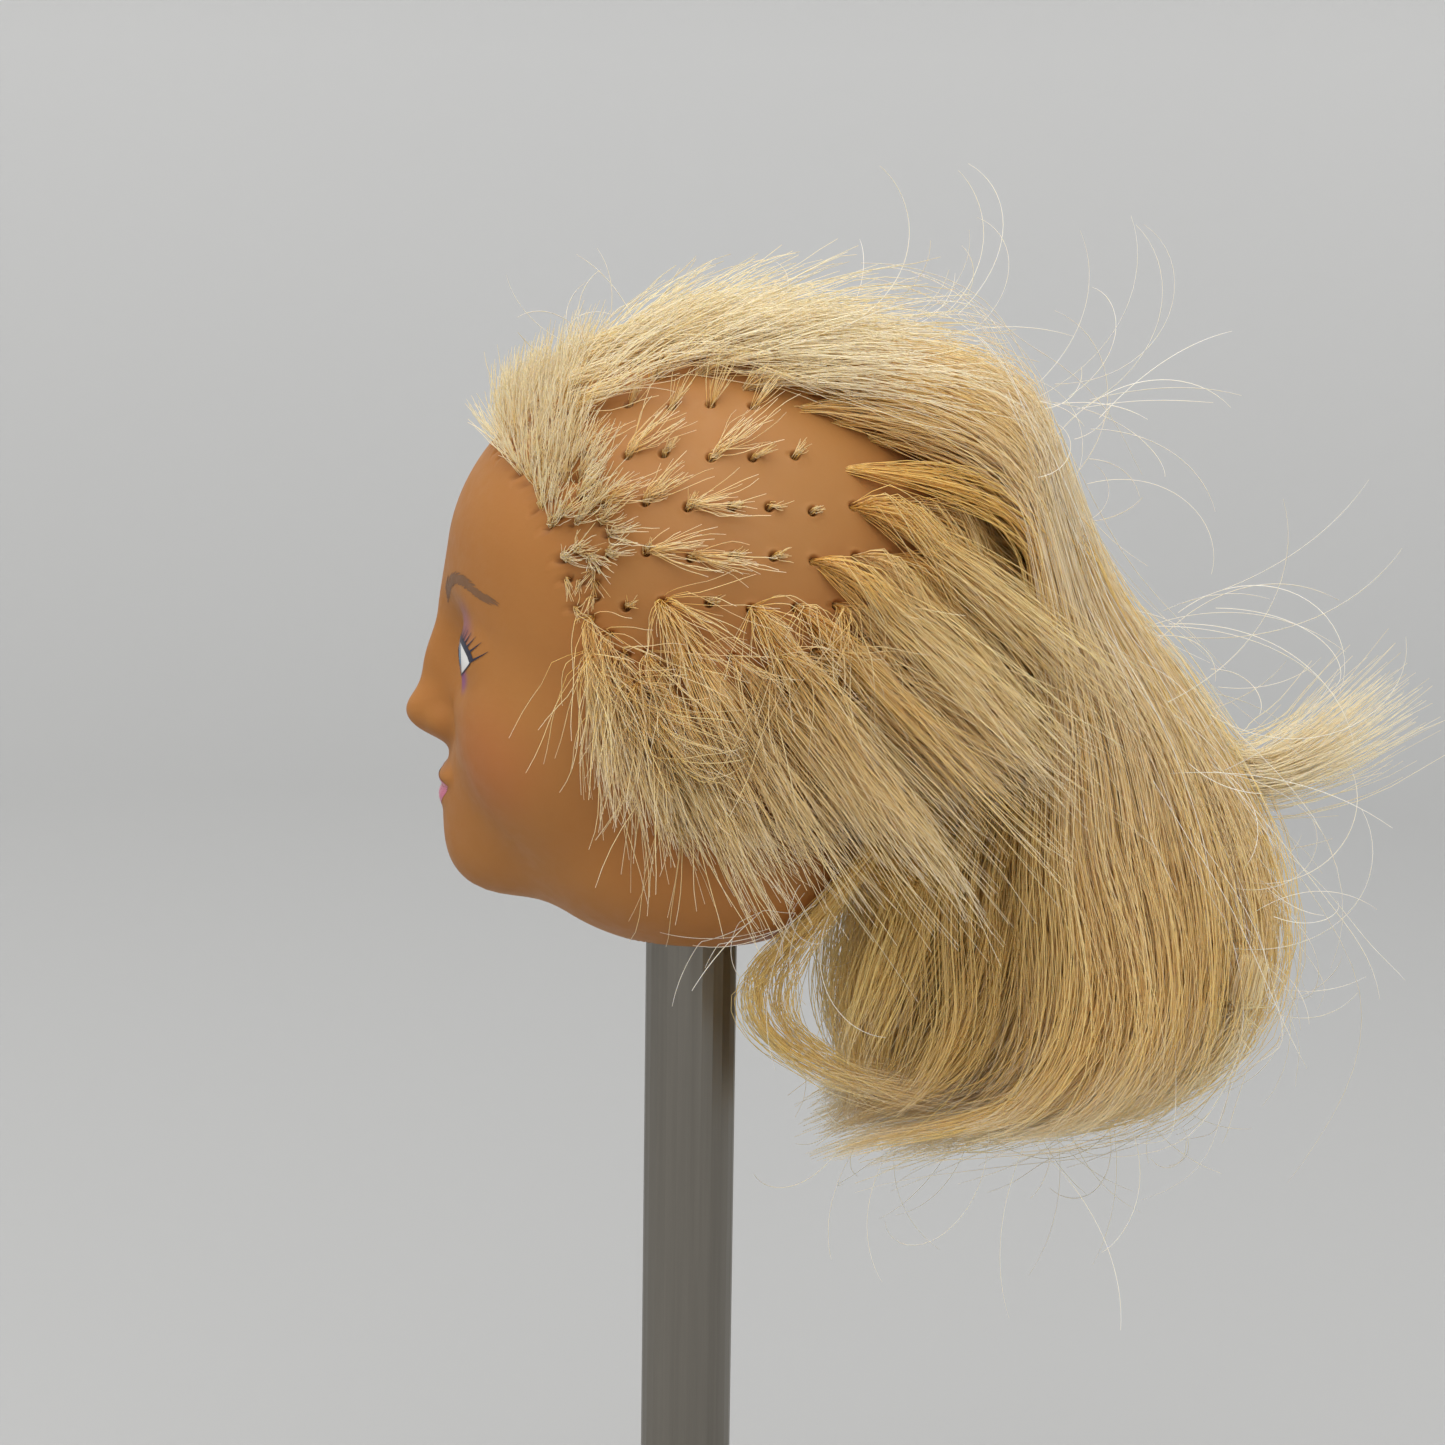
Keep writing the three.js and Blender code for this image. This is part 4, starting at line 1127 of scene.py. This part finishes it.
def hermite(p0, m0, p1, m1, k):
    t = np.linspace(0, 1, k)[None, :, None]
    h = (2 * t**3 - 3 * t**2 + 1, t**3 - 2 * t**2 + t, -2 * t**3 + 3 * t**2, t**3 - t**2)
    return h[0] * p0[:, None] + h[1] * m0[:, None] + h[2] * p1[:, None] + h[3] * m1[:, None]


LONG_PER_ROOT = 50
ROOT_POINTS, COURSE_POINTS = 9, 15  # of each long fibre, before and after it joins the course
LONG_FIBRE_TRIANGLES = (ROOT_POINTS + COURSE_POINTS - 2) * 6
MOST_TRIANGLES = 198000  # in one part of the long hair


def long_paths(roots, normals):
    """Fibres from plugs that join the long hair's course and follow it to its curled end."""
    m = len(roots)
    x, y, z = roots.T
    lock_u = np.clip((x + 3.2) / 11.5 + RNG.normal(0, 0.09, m), -1, 1)
    lock_v = np.clip(-0.95 + 1.9 * np.clip((z - 87) / 28, 0, 1) ** 0.9 + RNG.normal(0, 0.2, m), -1, 1)
    share = (lock_v[:, None] + 1) / 2
    lines_z = INNER[:, 1] * (1 - share) + OUTER[:, 1] * share
    drop = 4.0 + 0.35 * np.clip(4 - y, 0, 16)
    join = np.argmax(lines_z < (z - drop)[:, None], axis=1) / (DENSE - 1)
    join = np.maximum(join, np.interp(y, (0, 8, 14), (0.10, 0.10, 0.16)))
    lock_end = RNG.uniform(0.72, 1.0, m)
    phase = RNG.uniform(0, 2 * math.pi, (m, 4))
    which = np.repeat(np.arange(m), LONG_PER_ROOT)
    n = len(which)
    end = np.clip(lock_end[which] - np.abs(RNG.normal(0, 0.06, n)), 0.5, 1.0)
    t = np.linspace(0, 1, COURSE_POINTS)[None]
    s = join[which, None] + (end - join[which])[:, None] * t
    ph = phase[which]
    gather = 1 - 0.3 * t
    u = lock_u[which, None] + RNG.normal(0, 0.085, (n, 1)) * gather
    v = lock_v[which, None] + RNG.normal(0, 0.13, (n, 1)) * gather
    u = u + 0.05 * np.sin(7.0 * s + ph[:, :1]) + 0.02 * np.sin(19 * s + ph[:, 1:2])
    v = v + 0.10 * np.sin(8.0 * s + ph[:, 2:3]) + 0.04 * np.sin(21 * s + ph[:, 3:4])
    body = in_course(s, u, v)
    tangent = unit(body[:, 1] - body[:, 0])
    backward = np.array([0.0, 1.0, -0.25])
    leave = unit(normals * 0.4 + backward)[which]
    p0 = roots[which] - normals[which] * ROOT_DEPTH + RNG.normal(0, ROOT_SCATTER, (n, 3))
    gap = np.linalg.norm(body[:, 0] - p0, axis=1)[:, None]
    head_part = hermite(p0, leave * gap, body[:, 0], tangent * gap * 0.9, ROOT_POINTS)
    fan = RNG.normal(0, 0.6, (n, 1, 3)) * np.sin(np.linspace(0, 1, ROOT_POINTS) * math.pi)[None, :, None]
    head_part = head_part + fan * np.minimum(1, gap / 8)[..., None]
    paths = np.concatenate([head_part[:, :-1], body], 1)
    k = paths.shape[1]
    loose = np.where(RNG.uniform(0, 1, n) < 0.07, 0.9, 0.2)
    paths = paths + sway(n, k, loose, turns=0.8)
    rise = np.minimum(1, np.arange(k) / 3.0)[None]
    need = (0.4 + 0.9 * (lock_v[which, None] + 1) * RNG.uniform(0.3, 1.2, (n, 1))) * rise
    need[:, 0] = SUNK
    return keep_outside(paths, need)


def build_long_hair():
    roots, normals = LONG_ROOTS, skin_normal(LONG_ROOTS, HEAD_MASSES)
    x, _, z = roots.T
    groups = {
        "long_hair_crown": ((z > 112) & (x > -4.5), CROWN_HAIR, ["back_length_left"]),
        "long_hair_crown_right": ((z > 112) & (x <= -4.5), CROWN_HAIR, ["right_side_sweep"]),
        "long_hair_nape": ((z <= 94) & (x > -9), NAPE_HAIR, ["nape_layer", "curled_ends_left"]),
        "long_hair_back": ((z <= 112) & (z > 94) & (x > -9), LONG_HAIR, ["back_length_right"]),
        "long_hair_right": ((x <= -9) & (z <= 112), LONG_HAIR, ["right_back_layer", "curled_ends_right"]),
    }
    for name, (chosen, look, nodes) in groups.items():
        triangles = chosen.sum() * LONG_PER_ROOT * LONG_FIBRE_TRIANGLES
        parts = np.array_split(np.nonzero(chosen)[0], max(1, math.ceil(triangles / MOST_TRIANGLES)))
        for i, part in enumerate(parts):
            fibres(f"{name}_{i + 1}", long_paths(roots[part], normals[part]), look,
                   replaces=nodes if i == 0 else (), per_plug=LONG_PER_ROOT)


build_long_hair()

BUNDLE_ROWS = 120


def bundle(stations, radii, count, k=18, wander=0.2, late=0.0):
    """Fibres that follow a line of stations (m, 3), spread over a disc of the given radius at each station.

    Their ends are scattered over the last part of the line, late of it on top of a little."""
    line = smooth_line(np.array(stations, float), BUNDLE_ROWS)
    girth = np.interp(np.linspace(0, 1, BUNDLE_ROWS), np.linspace(0, 1, len(radii)), radii)
    tangent = unit(np.gradient(line, axis=0))
    across = unit(np.cross(tangent, np.array([0.0, 0.3, 1.0])))
    other = np.cross(tangent, across)
    place = RNG.normal(0, 0.5, (count, 2)).clip(-1.3, 1.3)
    end = 1 - np.abs(RNG.normal(0, 0.05, (count, 1))) - late * RNG.uniform(0, 1, (count, 1))
    at = np.linspace(0, 1, k)[None] * np.clip(end, 0.3, 1) * (BUNDLE_ROWS - 1)
    sideways = sampled(across, at) * place[:, None, :1] + sampled(other, at) * place[:, None, 1:]
    paths = sampled(line, at) + sideways * sampled(girth[:, None], at)
    return paths + sway(count, k, np.full(count, wander))


def build_flick():
    """The lock at the back that flicks up."""
    stations = [(-6, 23.0, 103), (-6.5, 30.0, 97.0), (-6, 35.8, 90.4), (-6, 41.5, 91.4), (-6, 48.8, 96.9)]
    flick = bundle(stations, (2.2, 2.5, 2.1, 2.8, 4.6), 420, wander=0.35, late=0.2)
    fibres("flicked_lock", flick, PALE_HAIR, replaces=["flick_lock"], start_along=0.3)


def build_nape_curls():
    """Thin curls that hang down at the nape and turn back under the long hair."""
    curls = []
    for _ in range(9):
        reach, x = RNG.uniform(3.4, 7.0), RNG.uniform(5.2, 8.0)
        drop = RNG.uniform(-0.6, 0.6)
        stations = [
            (x + 0.4, 11.5, 87), (x + 0.3, 0.4 * reach + 6.0, 82.6), (x, reach, 78.6 + drop),
            (x - 0.1, reach + 0.3, 75.2 + drop), (x - 0.6, reach + 4.2, 72.3), (x - 1.6, 14.5, 70.6),
            (x - 2.5, 19.0, 69.8),
        ]
        radii = (0.5, 0.7, 0.5, 0.5, 0.8, 1.2, 1.6)
        curls.append(bundle(stations, radii, RNG.integers(8, 22), wander=0.3, late=0.25))
    fibres("nape_curls", np.concatenate(curls), NAPE_HAIR, replaces=["nape_lock"], start_along=0.3)


def build_curl_tips():
    """Uneven locks along the curled ends."""
    tips = []
    for _ in range(8):
        x, low = RNG.uniform(-7, 6), RNG.uniform(-1.0, 1.2)
        reach = RNG.uniform(6.5, 15)
        stations = [
            (x, 36.2, 80), (x, 34.6, 74.4), (x, 29.5, 70.6 + low), (x, 21.5, 68.7 + low),
            (x, reach + 5, 67.7 + 0.6 * low), (x, reach, 65.8 + 0.5 * low),
        ]
        radii = (1.2, 1.4, 1.4, 1.2, 1.0, 0.8)
        tips.append(bundle(stations, radii, RNG.integers(40, 90), k=20, wander=0.5, late=0.12))
    fibres("curl_tips", np.concatenate(tips), PALE_HAIR, start_along=0.3)


build_flick()
build_nape_curls()
build_curl_tips()


STRAY_POINTS = 22
STRAY_CLEARANCE = 0.8
STRAY_R = 0.027
NECK_RIM_Z = 82  # strays that come lower than this keep away from the post


def arcs(count, centre, size, heading, longest=13):
    """Loose fibres that start in a cloud round a point and arc away along a heading."""
    start = np.array(centre) + RNG.uniform(-1, 1, (count, 3)) * size
    direction = unit(np.array(heading) + RNG.normal(0, 0.4, (count, 3)))
    axis = unit(np.stack([np.ones(count), RNG.normal(0, 0.35, count), RNG.normal(0, 0.35, count)], 1))
    axis *= RNG.choice([-1, 1], (count, 1))
    bend = RNG.uniform(0.6, 3.0, (count, 1))
    length = RNG.uniform(4, longest, (count, 1))
    line = [start]
    for i in range(STRAY_POINTS - 1):
        a = bend / STRAY_POINTS * (0.6 + 0.8 * i / STRAY_POINTS)
        kept = axis * (axis * direction).sum(1, keepdims=True) * (1 - np.cos(a))
        direction = unit(direction * np.cos(a) + np.cross(axis, direction) * np.sin(a) + kept)
        line.append(line[-1] + direction * length / STRAY_POINTS)
    return np.stack(line, 1)


def flyaways(count):
    """Fibres that run a little outside the long hair, loosely along it."""
    first = RNG.uniform(0.05, 0.75, (count, 1))
    last = first + RNG.uniform(0.12, 0.4, (count, 1))
    s = first + (last - first) * np.linspace(0, 1, STRAY_POINTS)[None]
    u = RNG.uniform(-0.9, 0.9, (count, 1)) + np.zeros((1, STRAY_POINTS))
    v = 0.95 + RNG.uniform(0, 0.8, (count, 1)) ** 1.5 * np.linspace(0, 1.3, STRAY_POINTS)[None]
    return in_course(s, u, v) + sway(count, STRAY_POINTS, RNG.uniform(0.3, 2.2, count), turns=0.7)


def build_strays():
    """Single fibres that have come loose. None comes near the post or goes far from the head."""
    paths = np.concatenate([
        arcs(12, (2, -4, 118), (6, 5, 1), (0, -0.4, 0.8), 8),
        arcs(18, (2, 10, 120), (7, 7, 1.5), (0, 1, 0.4), 12),
        arcs(22, (0, 23, 112), (9, 2, 5), (0, 1, 0.2), 17),
        arcs(26, (0, 31, 97), (10, 3, 6), (0, 1, 0.1), 18),
        arcs(26, (0, 35, 80), (9, 2, 5), (0, 1, -0.5), 16),
        arcs(34, (0, 26, 69), (9, 7, 1), (0, 0.3, -1), 16),
        arcs(26, (0, 12, 68), (6, 3, 1), (0, -0.8, -0.5)),
        arcs(16, (8, 6, 84), (1.5, 3, 1), (0.3, -0.7, -0.7)),
        flyaways(150),
    ])
    paths = keep_outside(paths, np.full(paths.shape[:2], STRAY_CLEARANCE))
    x, y, z = np.moveaxis(paths, -1, 0)
    near_post = (np.hypot(x, y) < 5.5 + 0.22 * (NECK_RIM_Z - z)) & (z < NECK_RIM_Z)
    near_head = (y < 56) & (z < 133) & (z > 50) & (np.abs(x) < 25)
    clear = ~near_post.any(1) & near_head.all(1)
    fibres("stray_fibres", paths[clear], LOOSE_HAIR, radius=STRAY_R, start_along=0.5)


build_strays()

# ---- Stage -----------------------------------------------------------------------------------

FRAME_WIDTH_MM = 94.4  # width of the view at the post
CAMERA_DISTANCE_MM = 190.0
CAMERA_ELEVATION = 8.5  # degrees
CAMERA_ROLL = 0.8  # degrees
TARGET_MM = (0.0, 1.85, 93.9)
SENSOR = 36.0
FLOOR_R, SWEEP_R, WALL_TOP = 520.0, 340.0, 640.0
BACKDROP_SIDES = 128
WORLD_STRENGTH = 0.34


def build_backdrop():
    """A pale round floor that sweeps up into a wall all round."""
    profile = [(1.0, 0.0)] + [(r, 0.0) for r in np.linspace(60, FLOOR_R, 9)]
    for a in np.linspace(0, math.pi / 2, 25)[1:]:
        profile.append((FLOOR_R + SWEEP_R * math.sin(a), SWEEP_R * (1 - math.cos(a))))
    profile.append((FLOOR_R + SWEEP_R, WALL_TOP))
    m = BACKDROP_SIDES
    turns = np.arange(m) / m * 2 * math.pi
    points = [(r * math.cos(t), r * math.sin(t), z) for r, z in profile for t in turns]
    faces = [[i * m + j, i * m + (j + 1) % m, (i + 1) * m + (j + 1) % m, (i + 1) * m + j]
             for i in range(len(profile) - 1) for j in range(m)]
    faces.append(list(range(m))[::-1])
    ob = new_object("backdrop", np.array(points), faces=faces)
    n = Nodes("pale_backdrop")
    at = n.where()
    height = n.add("ShaderNodeSeparateXYZ")
    n.link(at, height.inputs[0])
    wall = n.mix(n.span(height.outputs["Z"], 0.0, 0.2), (0.43, 0.43, 0.425), (0.55, 0.55, 0.545))
    n.colour(n.mix(n.span(n.noise(at, 3, 2), 0.3, 0.7, 0.0, 0.03), wall, (0.3, 0.3, 0.3)))
    n.set(Roughness=0.95, Specular_IOR_Level=0.1)
    ob.data.materials.append(n.material)


def area_light(name, place_mm, size_mm, power):
    light = bpy.data.lights.new(name, "AREA")
    light.shape = "RECTANGLE"
    light.size, light.size_y = (s * MM for s in size_mm)
    light.energy = power
    ob = bpy.data.objects.new(name, light)
    bpy.context.scene.collection.objects.link(ob)
    ob.location = Vector(place_mm) * MM
    ob.rotation_euler = (Vector(TARGET_MM) * MM - ob.location).to_track_quat("-Z", "Y").to_euler()


build_backdrop()
area_light("key_top", (120, -260, 1120), (1500, 1500), 15.8)
area_light("fill_side", (560, 60, 500), (600, 500), 2.0)

world = bpy.data.worlds.new("studio")
bpy.context.scene.world = world
world.use_nodes = True
background = world.node_tree.nodes["Background"]
background.inputs["Color"].default_value = (1.0, 1.0, 1.0, 1.0)
background.inputs["Strength"].default_value = WORLD_STRENGTH
bpy.context.scene.view_settings.view_transform = "Standard"

camera = bpy.data.cameras.new("camera")
camera.sensor_width = SENSOR
camera.lens = SENSOR * CAMERA_DISTANCE_MM / FRAME_WIDTH_MM
camera.clip_start = 0.005
camera_object = bpy.data.objects.new("camera", camera)
bpy.context.scene.collection.objects.link(camera_object)
elevation = math.radians(CAMERA_ELEVATION)
back = Vector((math.cos(elevation), 0.0, math.sin(elevation)))
camera_object.location = (Vector(TARGET_MM) + back * CAMERA_DISTANCE_MM) * MM
look = back.to_track_quat("Z", "Y").to_matrix().to_4x4()
camera_object.matrix_world = (
    Matrix.Translation(camera_object.location) @ look @ Matrix.Rotation(math.radians(CAMERA_ROLL), 4, "Z")
)
bpy.context.scene.camera = camera_object
